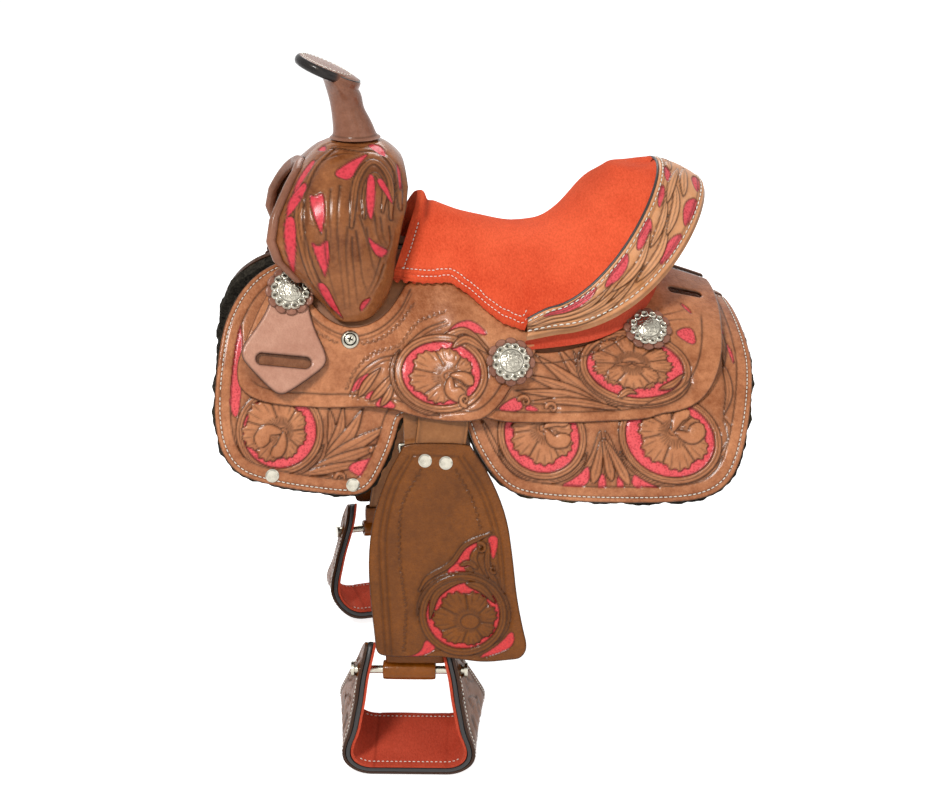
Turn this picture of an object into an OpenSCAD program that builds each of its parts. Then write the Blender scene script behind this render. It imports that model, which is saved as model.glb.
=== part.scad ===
// Small western saddle: tree, skirts, jockeys, padded seat, horn, rigging, fenders and stirrups.
// Millimetres. The front is -X, the rider's left side is -Y and up is +Z.
// The origin is the middle of the channel under the seat, where the two skirts would meet.

/* [Skirts and fleece] */
// Length of the skirts, front to rear
skirt_l = 528; // [450:1:640]
// Depth of a skirt, measured round its curve from the spine
skirt_d = 265; // [225:1:320]
// Thickness of the skirt leather
skirt_t = 5; // [3:0.5:7]
// Thickness of the fleece under the skirt
fleece_t = 12; // [8:1:18]
// Slope of the back at the spine in front, degrees
front_slope_top = 45; // [40:1:50]
// Slope at the spine in the middle
mid_slope_top = 38; // [33:1:43]
// Slope at the spine at the rear
rear_slope_top = 6; // [3:1:12]
// Slope at the skirt's lower edge in front
front_slope_low = 78; // [74:1:82]
// Slope at the skirt's lower edge in the middle
mid_slope_low = 76; // [72:1:80]
// Slope at the skirt's lower edge at the rear
rear_slope_low = 68; // [64:1:72]

/* [Jockeys] */
// Depth of the jockeys, measured round the curve from the spine
jockey_d = 192; // [175:1:231]
// Thickness of the jockey leather
jockey_t = 3.6; // [2.5:0.1:5]
// Front end of the seat jockey
jockey_front = -241; // [-255:1:-230]
// Rear end of the rear jockey
jockey_rear = 240; // [225:1:250]
// Length of the slot near the top of the rear jockey
jockey_slot_l = 34; // [20:1:40]
// Width of that slot
jockey_slot_w = 8; // [7:0.5:10]

/* [Tree] */
// Thickness of a tree bar
bar_t = 9; // [7:0.5:12]
// Half the width of the fork over the swells
fork_hw = 96; // [88:1:110]
// Height of the fork's top above the origin
fork_top = 110; // [100:1:125]
// Middle of the fork's feet along the saddle
fork_x = -131; // [-136:1:-126]
// Length of the fork over its swells, against the drawn outline
fork_size = 1; // [0.9:0.01:1.05]
// Thickness of the fork's leather cover
cover_t = 4; // [3:0.5:5]

/* [Horn] */
// Height of the horn's neck
horn_neck_h = 58; // [45:1:75]
// Radius of the neck's foot with its leather
horn_foot_r = 21; // [18:0.5:25]
// Radius of the neck's top with its leather
horn_neck_r = 15; // [13:0.5:17]
// Radius of the horn's cap
horn_cap_r = 28; // [24:0.5:36]
// Thickness of the cap
horn_cap_t = 11; // [9:0.5:15]
// Forward lean of the neck, degrees
horn_lean = 12; // [5:1:18]

/* [Seat and cantle] */
// Lowest level of the seat along the spine
seat_low = 17; // [14:0.5:24]
// Thickness of the seat's padding
pad_t = 15; // [10:0.5:20]
// Rise of the cantle's inner rim above its ends
cantle_rise = 138; // [115:1:165]
// Half width of the seat between the rim's ends
seat_hw = 98; // [90:1:104]
// Rear end of the rim's inner edge
cantle_rear = 182; // [172:1:190]
// Width of the rim's binding at the rear
binding_w = 48; // [36:1:56]
// Thickness of the binding
binding_t = 6; // [4:0.5:8]

/* [Stirrup leathers and fenders] */
// Middle of the stirrup leather along the saddle
strap_x = -47; // [-52:1:-42]
// Width of the stirrup leather
strap_w = 50; // [40:1:54]
// Thickness of the stirrup leather
strap_t = 3.6; // [3:0.1:4.5]
// Thickness of the fender leather
fender_t = 4; // [3:0.5:5]
// Length of the fender
fender_l = 214; // [180:1:260]
// Slope of the hanging fender, degrees
fender_slope = 74; // [72:1:76]
// Turn of the fender towards the front, degrees
fender_turn = 8; // [7:0.5:9]
// Radius of a fender rivet's head
rivet_r = 6.5; // [5:0.5:8]

/* [Rigging and keeper] */
// Middle of the rigging strap along the saddle
rig_x = -70; // [-71:0.5:-69]
// Width of the rigging strap
rig_w = 28; // [24:1:28]
// Thickness of the rigging strap
rig_t = 2.6; // [2:0.1:3]
// Radius of the rigging dee's wire
dee_wire_r = 2.5; // [2:0.1:2.8]
// Radius of the dee's bow
dee_r = 18; // [18:0.5:19]
// Thickness of the latigo keeper
keeper_t = 4; // [3:0.5:5]
// Length of the keeper's slot
keeper_slot_l = 52; // [40:1:56]
// Width of the keeper's slot
keeper_slot_w = 11; // [9:0.5:13]

/* [Stirrups] */
// Distance of the stirrup bolt below the fender's hinge line
bolt_drop = 245; // [235:1:265]
// Radius of the stirrup bolt
bolt_r = 4; // [3:0.5:5]
// Height of the foot opening below the bolt
foot_h = 88; // [78:1:106]
// Half the width of the tread between the arms' bends
tread_hw = 37; // [31:1:44]
// Inner radius of the bend between arm and tread
bend_r = 24; // [20:1:28]
// Depth of the tread
tread_depth = 84; // [70:1:100]
// Thickness of the stirrup's frame
frame_t = 5; // [4:0.5:7]

/* [Conchos and screws] */
// Radius of a concho
concho_r = 19; // [16:0.5:21]
// Radius of the leather rosette under a concho
rosette_r = 24; // [22:0.5:26]
// Thickness of a rosette
rosette_t = 3; // [2:0.5:4]
// Radius of a concho screw's shank
screw_r = 2; // [1.5:0.1:2.5]

/* [Hidden] */
$fn = 48;
// Space between two layers of leather
gap = 0.4;
// Space round a screw or rivet in its hole
hole_gap = 0.06;
// Space between a turning bolt or wire and its loop
run_gap = 0.08;
// Distance along the saddle over which the slopes are given
slope_reach = 250;
skirt_front = -skirt_l / 2;
skirt_rear = skirt_l / 2;
bar_top = skirt_t + gap + bar_t;
jockey_top = bar_top + gap + jockey_t;

function mix(a, b, t) = a + (b - a) * t;
function smooth(t) = let(c = min(1, max(0, t))) c * c * (3 - 2 * c);
function unit(v) = v / norm(v);
// The curve through three values at t = -1, 0 and 1
function through(a, b, c, t) = b + (c - a) / 2 * t + ((a + c) / 2 - b) * t * t;

// The back: each cross-section is an arc whose slope grows from the spine to the lower edge
function slope_top(x) = through(front_slope_top, mid_slope_top, rear_slope_top, x / slope_reach);
function slope_low(x) = through(front_slope_low, mid_slope_low, rear_slope_low, x / slope_reach);
function curl(x) = (slope_low(x) - slope_top(x)) * PI / 180 / skirt_d;
function drop(x) = (cos(slope_top(x)) - cos(slope_low(x))) / curl(x);
function ridge(x) = drop(x) - drop(0);
function slope_at(x, s) = mix(slope_top(x), slope_low(x), s / skirt_d);
// Point at x, at arc length s from the spine and height h off the surface, on the left side
function on_back(x, s, h) =
  let(a = slope_top(x), th = slope_at(x, s), k = curl(x))
  [x, -(sin(th) - sin(a)) / k - h * sin(th), ridge(x) - (cos(a) - cos(th)) / k + h * cos(th)];
// Slope of the offset surface at a place in plan, then its level and its arc length there
function slope_in_plan(x, y, h) =
  asin(min(0.999, (sin(slope_top(x)) + curl(x) * abs(y)) / (1 + curl(x) * h)));
function deck(x, y, h) =
  let(th = slope_in_plan(x, y, h))
  ridge(x) - (cos(slope_top(x)) - cos(th)) / curl(x) + h * cos(th);
function arc_at(x, y, h) =
  (slope_in_plan(x, y, h) - slope_top(x)) / (slope_low(x) - slope_top(x)) * skirt_d;

// A closed slab between two equal grids of points; outer faces away from inner
function grid_faces(ni, nj, o, back) = [
  for (i = [0 : ni - 2], j = [0 : nj - 2])
    let(a = o + i * nj + j, b = a + nj, c = b + 1, d = a + 1)
    each back ? [[a, c, b], [a, d, c]] : [[a, b, c], [a, c, d]]
];
function edge_faces(loop, o, back) = [
  for (k = [0 : len(loop) - 1])
    let(a = loop[k], b = loop[(k + 1) % len(loop)])
    each back ? [[a, b, b + o], [a, b + o, a + o]] : [[a, b + o, b], [a, a + o, b + o]]
];
function grid_loop(ni, nj) = concat(
  [for (i = [0 : ni - 2]) i * nj],
  [for (j = [0 : nj - 2]) (ni - 1) * nj + j],
  [for (i = [ni - 1 : -1 : 1]) i * nj + nj - 1],
  [for (j = [nj - 1 : -1 : 1]) j]
);
module slab(outer, inner, back = false) {
  ni = len(outer);
  nj = len(outer[0]);
  o = ni * nj;
  points = [for (row = outer) each row, for (row = inner) each row];
  polyhedron(points, concat(
    grid_faces(ni, nj, 0, back),
    grid_faces(ni, nj, o, !back),
    edge_faces(grid_loop(ni, nj), o, back)
  ));
}
// A leather panel on the back: rows of x, upper edge and lower edge, between two height functions
function panel_grid(rows, nj, height) = [
  for (r = rows) [
    for (j = [0 : nj])
      let(s = mix(r[1], r[2], j / nj))
      on_back(r[0], s, height(r[0], s))
  ]
];
module panel(rows, nj, low, high) {
  slab(panel_grid(rows, nj, high), panel_grid(rows, nj, low));
}
// A closed tube of equal rings of points
module rings(list) {
  n = len(list[0]);
  last = len(list) - 1;
  polyhedron([for (r = list) each r], concat(
    [for (i = [0 : last - 1], j = [0 : n - 1])
      let(a = i * n + j, b = i * n + (j + 1) % n)
      each [[a, a + n, b + n], [a, b + n, b]]],
    [for (j = [1 : n - 2]) [0, j, j + 1]],
    [for (j = [1 : n - 2]) [last * n, last * n + j + 1, last * n + j]]
  ));
}
// Puts flat work on the back: z along the outward normal of the surface, x along the saddle
module on_frame(p, ex, n) {
  ey = cross(n, ex);
  multmatrix([
    [ex.x, ey.x, n.x, p.x],
    [ex.y, ey.y, n.y, p.y],
    [ex.z, ey.z, n.z, p.z]
  ]) children();
}
module on_surface(x, s, height) {
  du = on_back(x + 1, s, height(x + 1, s)) - on_back(x - 1, s, height(x - 1, s));
  dv = on_back(x, s + 1, height(x, s + 1)) - on_back(x, s - 1, height(x, s - 1));
  n = unit(cross(dv, du));
  ex = unit(du - n * (du * n));
  on_frame(on_back(x, s, height(x, s)), ex, n) children();
}
module right() {
  mirror([0, 1, 0]) children();
}
module both() {
  children();
  right() children();
}

// Heights of the layers off the back
strap_lift = 19.4;
function near_strap(x) = smooth(1 - max(0, abs(x - strap_x) - 32) / 70);
bar_fade = 100;
fade_len = 80;
under_rear = function(x, s) mix(
  bar_top + gap,
  mix(skirt_t + gap, strap_lift, near_strap(x)),
  smooth((s - bar_fade) / fade_len)
);
over_rear = function(x, s) under_rear(x, s) + jockey_t;
// The seat jockey's rear end lies on the rear jockey
function jockey_step(x) = (jockey_t + 2 * gap) * smooth((x + 58) / 36);
under_seat = function(x, s) under_rear(x, s) + jockey_step(x);
over_seat = function(x, s) under_seat(x, s) + jockey_t;

// Outlines on the back: x, upper edge, lower edge
notch_top = jockey_d - 6;
skirt_rows = [
  [skirt_front, 168, 188], [skirt_front + 3, 138, 208], [skirt_front + 10, 98, 224],
  [skirt_front + 20, 74, skirt_d - 30], [skirt_front + 32, 55, skirt_d - 23],
  [skirt_front + 50, 38, skirt_d - 17], [skirt_front + 74, 27, skirt_d - 11],
  [strap_x - 101, 24, skirt_d - 4], [strap_x - 84, 24, skirt_d - 4], [strap_x - 74, 24, skirt_d - 8],
  [strap_x - 66, 24, skirt_d - 16], [strap_x - 54, 24, skirt_d - 38],
  [strap_x - 46, 24, notch_top + 22], [strap_x - 41, 24, notch_top + 5], [strap_x - 37, 24, notch_top],
  [strap_x, 24, notch_top], [strap_x + 20, 24, notch_top], [strap_x + 24, 24, notch_top + 9],
  [strap_x + 30, 24, notch_top + 28], [strap_x + 42, 24, skirt_d - 29], [strap_x + 57, 24, skirt_d - 11],
  [strap_x + 76, 24, skirt_d - 3], [62, 24, skirt_d], [110, 24, skirt_d],
  [skirt_rear - 98, 16, skirt_d - 3], [skirt_rear - 65, 6, skirt_d - 9], [skirt_rear - 43, 4, skirt_d - 24],
  [skirt_rear - 30, 4, skirt_d - 48], [skirt_rear - 19, 4, 182], [skirt_rear - 8, 4, 138],
  [skirt_rear - 2, 4, 100]
];
bar_rows = [
  [-205, 50, 95], [-195, 36, 112], [-175, 26, 122], [-140, 23, 124], [-105, 22, 124], [-90, 22, 112],
  [-78, 22, 98], [-62, 22, 96], [-32, 22, 96], [-16, 22, 98], [-4, 22, 112], [12, 22, 124], [50, 22, 128],
  [100, 22, 128], [150, 24, 124], [180, 34, 112], [192, 50, 95]
];
seat_jockey_rows = [
  [jockey_front, 134, 150], [jockey_front + 4, 122, 157], [jockey_front + 12, 106, 164],
  [jockey_front + 24, 80, 169], [jockey_front + 37, 59, 172], [jockey_front + 50, 46, 174],
  [fork_x - 47, 62, 175], [fork_x - 37, 76, 176], [fork_x - 27, 89, 177], [fork_x - 15, 98, 177],
  [fork_x + 1, 103, 177], [fork_x + 18, 100, 177], [fork_x + 34, 91, 179], [fork_x + 46, 76, 183],
  [-73, 56, jockey_d - 5], [-58, 52, jockey_d - 2], [-40, 54, jockey_d], [-22, 58, jockey_d],
  [-8, 66, jockey_d - 3], [8, 84, jockey_d - 16], [19, 94, jockey_d - 32], [34, 104, jockey_d - 51],
  [46, 112, jockey_d - 64]
];

// The rim of the cantle: an angle of 0 is the rear, 90 is the left side
rim_end = 97;
rim_x = 65;
function cos_pow(a, p) = let(c = cos(a)) sign(c) * pow(abs(c), p);
function rim_height(a) = max(0, (cos(a) + 0.2) / 1.2);
rim_foot = deck(rim_x, seat_hw, jockey_top + jockey_t) + 9;
function rim_in(a, inset = 0) = [
  rim_x + (cantle_rear - rim_x - inset) * cos_pow(a, 0.7),
  -(seat_hw - inset) * sin(a),
  rim_foot + cantle_rise * pow(rim_height(a), 1.15)
];
function rim_out(a) = [
  rim_x + 7 + (cantle_rear + binding_w - rim_x - 7) * cos_pow(a, 0.7),
  -(seat_hw + 12) * sin(a),
  rim_foot - 10 + (cantle_rise - 13) * pow(rim_height(a), 1.6)
];
// Foot of the cantle's wall, on the bars
wall_x = 60;
wall_rear = cantle_rear - 6;
wall_end = 86;
function wall_foot(a, h) =
  let(x = wall_x + (wall_rear - wall_x) * cos_pow(a, 0.7), y = seat_hw * sin(a))
  [x, -y, deck(x, y, h)];
function wall_top(a) = mix(rim_in(a), rim_out(a), 0.65) - [0, 0, binding_t + 3];
function wall_way(a) = unit([wall_foot(a, 0).x - wall_x + 12, wall_foot(a, 0).y, 0]);
function wall(a, v, d, h) =
  let(p = mix(wall_foot(a, bar_top + gap), wall_top(a), v) + d * wall_way(a))
  [p.x, p.y, max(p.z, deck(p.x, p.y, h))];
// Upper edge of the rear jockey, just outside the wall's foot
function wall_side(x) =
  let(c = pow(min(1, max(0, (x - wall_x) / (wall_rear - wall_x))), 1 / 0.7))
  seat_hw * sqrt(1 - c * c);
function rear_edge(x) = max(5, arc_at(x, wall_side(x) + 5, bar_top));
rear_jockey_rows = [
  [-12, 174, jockey_d - 5], [0, 152, jockey_d - 2], [15, 132, jockey_d], [29, 121, jockey_d],
  for (x = [52 : 24 : 148]) [x, rear_edge(x), jockey_d - 1 - 9 * smooth((x - 52) / 140)],
  [162, rear_edge(162), jockey_d - 14], [173, rear_edge(173), jockey_d - 16], [181, 6, jockey_d - 18],
  [jockey_rear - 45, 5, jockey_d - 24], [jockey_rear - 32, 5, jockey_d - 35],
  [jockey_rear - 20, 5, jockey_d - 54], [jockey_rear - 11, 5, jockey_d - 80],
  [jockey_rear - 4, 5, jockey_d - 118], [jockey_rear, 5, jockey_d - 150]
];

// Places of the fasteners: x and arc length on the left side
front_concho = [-187, 68];
middle_concho = [20, 137];
rear_concho = [157, 98];
washer_place = [-132, 114];
rivet_places = [[skirt_front + 52, skirt_d - 26], [strap_x - 88, skirt_d - 14]];
// The keeper leans in from the front concho and hangs a little forward
keeper_lean = 6;
keeper_hang = 8;
keeper_stand = 3;
module at_keeper() {
  th = slope_at(front_concho.x, front_concho[1]) + keeper_lean;
  p = on_back(front_concho.x, front_concho[1], jockey_top + keeper_stand);
  on_frame(p, [1, 0, 0], [0, -sin(th), cos(th)]) children();
}
module at_middle() {
  on_surface(middle_concho.x, middle_concho[1], over_seat) children();
}
module at_rear() {
  on_surface(rear_concho.x, rear_concho[1], over_rear) children();
}
module at_washer() {
  on_surface(washer_place.x, washer_place[1], over_seat) children();
}
lift_concho = 1.3;
front_depth = 16;
middle_depth = 7.5;
rear_depth = 10;
module screw_holes(r) {
  at_keeper() translate([0, 0, -front_depth - 1]) cylinder(r = r, h = front_depth + 1);
  at_middle() translate([0, 0, -middle_depth - 1]) cylinder(r = r, h = middle_depth + 2);
  at_rear() translate([0, 0, -rear_depth - 1]) cylinder(r = r, h = rear_depth + 2);
  at_washer() translate([0, 0, -rear_depth - 1]) cylinder(r = r, h = rear_depth + 2);
}

// Tree
module bar() {
  difference() {
    panel(bar_rows, 6, function(x, s) skirt_t + gap, function(x, s) under_rear(x, s) - 2 * gap);
    screw_holes(screw_r + hole_gap);
  }
}
module tree_bar_left() { color("burlywood") bar(); }
module tree_bar_right() { color("burlywood") right() bar(); }

// The fork is an arch over the withers; a is the angle from its top and v runs front to rear
fork_end = 127;
fork_level = 5;
fork_crown = 20;
// Front and rear edges as distances from the feet, at angles from the top
fork_front = [
  [0, 36], [20, 41], [40, 52], [60, 64], [75, 68], [88, 62], [100, 46], [112, 26], [127, 9]
];
fork_back = [
  [0, 58], [20, 59], [40, 60], [55, 57], [70, 51], [88, 42], [100, 34], [112, 24], [127, 9]
];
function fork_mid_x(a) = fork_x + 13 * pow(cos(min(90, abs(a))), 2);
function fork_at(a, v, inset) =
  v < 0
  ? mix(fork_mid_x(a), fork_x - fork_size * lookup(abs(a), fork_front) + inset, -v)
  : mix(fork_mid_x(a), fork_x + fork_size * lookup(abs(a), fork_back) - inset, v);
// Room under the fork: on the bars between its feet, above the front conchos further forward
function fork_room(x) = bar_top + gap + 0.8 + 23 * smooth((fork_x - 22 - x) / 20);
function fork_point(a, v, inset) =
  let(
    c = inset + fork_crown * pow(abs(v), 3),
    x = fork_at(a, v, inset),
    y = -(fork_hw - c) * sin(a),
    z = fork_level + (fork_top - fork_level - c) * cos(a)
  )
  [x, y, max(z, deck(x, y, fork_room(x)))];
arch_hw = 56;
arch_top = 62;
function arch_point(a, v, inset) =
  let(
    x = fork_at(a, v, inset),
    y = -arch_hw * sin(a),
    z = fork_level + (arch_top - fork_level) * cos(a)
  )
  [x, y, max(z, deck(x, y, fork_room(x)))];
function fork_grid(n, m, inset) = [
  for (i = [-n : n]) [for (j = [-m : m]) fork_point(fork_end * i / n, j / m, inset)]
];
function arch_grid(n, m, inset) = [
  for (i = [-n : n]) [for (j = [-m : m]) arch_point(fork_end * i / n, j / m, inset)]
];
module horn_axis() {
  translate([fork_mid_x(0), 0, fork_top + 0.4]) rotate([0, -horn_lean, 0]) children();
}
stem_r = 8;
stem_l = 26;
module tree_fork() {
  color("burlywood") difference() {
    slab(fork_grid(13, 4, cover_t + gap), arch_grid(13, 4, cover_t + gap), true);
    horn_axis() translate([0, 0, -stem_l]) cylinder(r = stem_r + hole_gap, h = stem_l * 2);
  }
}
module fork_cover() {
  color("saddlebrown") difference() {
    slab(fork_grid(13, 4, 0), fork_grid(13, 4, cover_t), true);
    horn_axis() translate([0, 0, -stem_l]) cylinder(r = stem_r + hole_gap, h = stem_l * 2);
  }
}
// The leather roll round the front edge of the fork
roll_r = 5;
module gullet_roll() {
  steps = 15;
  sides = 8;
  end = fork_end - 22;
  color("saddlebrown") rings([
    for (i = [-steps : steps])
      let(
        a = end * i / steps,
        p = mix(fork_point(a, -1, 0), arch_point(a, -1, 0), 0.3) - [roll_r + 3 * gap, 0, 0],
        out = unit([0, p.y, p.z - fork_level])
      )
      [for (j = [0 : sides - 1]) p + roll_r * (cos(360 * j / sides) * out + [sin(360 * j / sides), 0, 0])]
  ]);
}

// Horn
head_r = horn_cap_r - 4;
head_t = horn_cap_t - 5;
horn_wall = 4;
head_tilt = 24;
stud_r = 6;
stud_x = 8.5;
module at_head() {
  horn_axis() translate([-7, 0, horn_neck_h]) rotate([0, head_tilt + horn_lean, 0]) children();
}
// A leaning cone that stands level on the fork and is cut off under the cap
module neck(r1, r2, h) {
  sink = 12;
  grow = (r1 - r2) / h * sink;
  difference() {
    horn_axis() translate([0, 0, -sink]) cylinder(r1 = r1 + grow, r2 = r2, h = h + sink);
    translate([fork_mid_x(0) - 100, -100, fork_top - 99.6]) cube([200, 200, 100]);
    at_head() translate([-100, -100, -0.3]) cube([200, 200, 100]);
  }
}
module horn_core() {
  color("dimgray") union() {
    neck(horn_foot_r - horn_wall, horn_neck_r - horn_wall, horn_neck_h);
    horn_axis() translate([0, 0, -stem_l + 6]) cylinder(r = stem_r, h = stem_l);
    at_head() translate([0, 0, 2.5]) cylinder(r = head_r, h = head_t);
    at_head() translate([stud_x, 0, -6]) cylinder(r = stud_r, h = 10);
  }
}
module horn_wrap() {
  color("sienna") difference() {
    neck(horn_foot_r, horn_neck_r, horn_neck_h);
    horn_axis() translate([0, 0, -12]) cylinder(
      r1 = horn_foot_r - horn_wall + 0.1 + 12 * (horn_foot_r - horn_neck_r) / horn_neck_h,
      r2 = horn_neck_r - horn_wall + 0.1,
      h = horn_neck_h + 12
    );
  }
}
module horn_cap() {
  color("sienna") at_head() difference() {
    rotate_extrude() polygon([
      [0, 0], [horn_cap_r - 3, 0], [horn_cap_r, 3], [horn_cap_r, horn_cap_t - 3],
      [horn_cap_r - 3, horn_cap_t - 0.6], [0, horn_cap_t]
    ]);
    translate([0, 0, 2.3]) cylinder(r = head_r + 0.2, h = head_t + 0.4);
    translate([stud_x, 0, -1]) cylinder(r = stud_r + hole_gap, h = 6);
  }
}

// Seat: stations t from the front to the rear of the rim, q across from left to right
seat_front = -60;
seat_front_low = -88;
seat_turn = 0.42;
seat_edge = [
  [seat_front_low, 55], [-60, 57], [-33, 57], [-15, 70], [0, 85], [15, 97], [36, 104]
];
pad_edge = 4.5;
function pad_base(x) = jockey_top + gap + jockey_step(x) + 0.4;
function seat_side(t) =
  t < seat_turn
  ? let(x = mix(seat_front_low, 36, t / seat_turn))
    on_back(x, lookup(x, seat_edge), pad_base(x) + pad_edge)
  : rim_in(rim_end * (1 - (t - seat_turn) / (1 - seat_turn)), 1.5);
seat_deep = 50;
function seat_spine(t) =
  let(
    x = mix(seat_front, cantle_rear - 1.5, t),
    rear_z = rim_in(0).z - 1
  )
  [x, 0, x < seat_deep
    ? seat_low + 33 * pow((seat_deep - x) / (seat_deep - seat_front), 1.6)
    : seat_low + (rear_z - seat_low) * pow((x - seat_deep) / (cantle_rear - 1.5 - seat_deep), 1.9)];
function seat_point(t, q) =
  let(e = seat_side(t), c = seat_spine(t), b = abs(q), p = mix(2, 2.6, t))
  [mix(c.x, e.x, b * b), e.y * q, mix(c.z, e.z, pow(b, p))];
function seat_under(t, q) =
  let(
    p = seat_point(t, q),
    full = pad_t * (1 - 0.7 * pow(abs(q), 5)) * (1 - 0.7 * pow(abs(2 * t - 1), 8)),
    low = max(p.z - full, deck(p.x, p.y, pad_base(p.x)))
  )
  [p.x, p.y, min(p.z - 2.5, low)];
seat_last = 0.985;
module seat_cover() {
  n = 24;
  m = 7;
  color("orangered") slab(
    [for (i = [0 : n]) [for (j = [-m : m]) seat_point(seat_last * i / n, -j / m)]],
    [for (i = [0 : n]) [for (j = [-m : m]) seat_under(seat_last * i / n, -j / m)]]
  );
}
seat_inner = 0.62;
function ground_top(t, q) = seat_under(t, q) - [0, 0, 1.8];
function ground_low(t, q) =
  let(p = ground_top(t, q))
  [p.x, p.y, max(p.z - 5, min(p.z - 2, deck(p.x, p.y, bar_top + gap)))];
module ground_seat() {
  n = 14;
  m = 4;
  color("peru") slab(
    [for (i = [0 : n]) [for (j = [-m : m]) ground_top(mix(0.04, 0.8, i / n), -j / m * seat_inner)]],
    [for (i = [0 : n]) [for (j = [-m : m]) ground_low(mix(0.04, 0.8, i / n), -j / m * seat_inner)]]
  );
}

// Cantle
wall_t = 12;
function wall_grid(n, m, d, h, first, last) = [
  for (i = [-n : n])
    let(a = wall_end * i / n)
    [for (j = [0 : m]) wall(a, mix(first(a), last, j / m), d, h)]
];
// Share of the wall's height that is hidden by the rear jockey
wall_hidden = function(a)
  let(p = wall_foot(a, bar_top + gap))
  (deck(p.x, p.y, jockey_top + 2.5) - p.z) / (wall_top(a).z - p.z);
module tree_cantle() {
  color("burlywood") slab(
    wall_grid(12, 3, 0, bar_top + gap, function(a) 0, 1),
    wall_grid(12, 3, -wall_t, bar_top + gap, function(a) 0, 1), true
  );
}
back_t = 2.6;
module cantle_back() {
  color("orangered") slab(
    wall_grid(12, 3, gap + back_t, jockey_top + gap, wall_hidden, 0.9),
    wall_grid(12, 3, gap, jockey_top + gap, wall_hidden, 0.9), true
  );
}
binding_crown = 4;
module cantle_binding() {
  n = 18;
  color("peru") rings([
    for (i = [-n : n])
      let(
        a = -rim_end * i / n,
        p = rim_in(a),
        o = rim_out(a),
        top = mix(p, o, 0.5) + [0, 0, binding_crown * (0.4 + 0.6 * rim_height(a))],
        t = [0, 0, -binding_t]
      )
      [p, top, o, o + t * 0.6, mix(p, o, 0.5) + t, p + t * 0.8]
  ]);
}

// Skirts, fleece and jockeys
module skirt() {
  difference() {
    panel(skirt_rows, 8, function(x, s) 0, function(x, s) skirt_t);
    for (p = rivet_places)
      on_surface(p.x, p[1], function(x, s) skirt_t)
        translate([0, 0, -skirt_t - 2]) cylinder(r = rivet_shank_r + hole_gap, h = skirt_t + 4);
  }
}
module skirt_left() { color("peru") skirt(); }
module skirt_right() { color("peru") right() skirt(); }
module fleece() {
  panel(skirt_rows, 8, function(x, s) -fleece_t, function(x, s) -gap);
}
module fleece_left() { color("darkslategray") fleece(); }
module fleece_right() { color("darkslategray") right() fleece(); }
module seat_jockey() {
  difference() {
    panel(seat_jockey_rows, 6, under_seat, over_seat);
    screw_holes(screw_r + hole_gap);
  }
}
module seat_jockey_left() { color("peru") seat_jockey(); }
module seat_jockey_right() { color("peru") right() seat_jockey(); }
slot_place = [206, 42];
module slot_cut(l, w, h) {
  translate([0, 0, -h]) linear_extrude(2 * h) slot(l, w);
}
module slot(l, w) {
  square([l - w, w], center = true);
  for (side = [-1, 1]) translate([side * (l - w) / 2, 0]) circle(r = w / 2);
}
module rear_jockey() {
  difference() {
    panel(rear_jockey_rows, 6, under_rear, over_rear);
    screw_holes(screw_r + hole_gap);
    on_surface(slot_place.x, slot_place[1], over_rear) slot_cut(jockey_slot_l, jockey_slot_w, 10);
  }
}
module rear_jockey_left() { color("peru") rear_jockey(); }
module rear_jockey_right() { color("peru") right() rear_jockey(); }

// Rigging: a strap under the stirrup leather with a dee in its looped end
strap_start = 98.6;
dee_s = jockey_d + 21;
dee_h = 3.2;
loop_wall = 2;
loop_r = dee_wire_r + run_gap + loop_wall;
rig_bend = notch_top + 4;
function rig_low(s) = mix(skirt_t + gap, dee_h - rig_t / 2, smooth((s - rig_bend) / (dee_s - 4 - rig_bend)));
bar_low = [for (r = bar_rows) [r[0], r[2] + 1.4]];
rig_rows = [
  for (i = [-2 : 2])
    let(x = rig_x + i * rig_w / 4)
    [x, lookup(x, bar_low), dee_s - 3.4]
];
module at_dee() {
  translate(on_back(rig_x, dee_s, dee_h)) rotate([0, 90, 0]) children();
}
module rigging_strap() {
  difference() {
    union() {
      panel(rig_rows, 9, function(x, s) rig_low(s), function(x, s) rig_low(s) + rig_t);
      at_dee() cylinder(r = loop_r, h = rig_w, center = true);
    }
    at_dee() cylinder(r = dee_wire_r + run_gap, h = rig_w + 20, center = true);
  }
}
module rigging_strap_left() { color("tan") rigging_strap(); }
module rigging_strap_right() { color("tan") right() rigging_strap(); }
module rigging_dee() {
  at_dee() {
    cylinder(r = dee_wire_r, h = 2 * dee_r, center = true);
    for (side = [-1, 1]) translate([0, 0, side * dee_r]) sphere(r = dee_wire_r);
    rotate([90, 0, 0]) rotate([0, 0, 90]) rotate_extrude(angle = -180)
      translate([dee_r, 0]) circle(r = dee_wire_r);
  }
}
module rigging_dee_left() { color("silver") rigging_dee(); }
module rigging_dee_right() { color("silver") right() rigging_dee(); }

// Stirrup leather: an upper ply from the bar, a hanger ply that swings, and the lower strap
ply_h = 8.4;
upper_rows = [for (i = [-1 : 1]) [strap_x + i * strap_w / 2, strap_start, jockey_d - 8]];
module leather_upper() {
  panel(upper_rows, 7,
    function(x, s) ply_h,
    function(x, s) ply_h + strap_t);
}
module leather_upper_left() { color("sienna") leather_upper(); }
module leather_upper_right() { color("sienna") right() leather_upper(); }

// The hanging frame: x along the fender's width, y up its length, z out of its face
hang_s = jockey_d - 2;
hang_h = 16.8;
module hang() {
  translate(on_back(strap_x, hang_s, hang_h)) rotate([fender_slope, 0, -fender_turn]) children();
}
knuckle_y = -5;
ply_z = -strap_t / 2 - gap;
module leather_hanger() {
  hang() translate([-strap_w / 2, knuckle_y + strap_t / 2 + gap, ply_z - strap_t / 2])
    cube([strap_w, 14, strap_t]);
}
module leather_hanger_left() { color("sienna") leather_hanger(); }
module leather_hanger_right() { color("sienna") right() leather_hanger(); }

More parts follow.
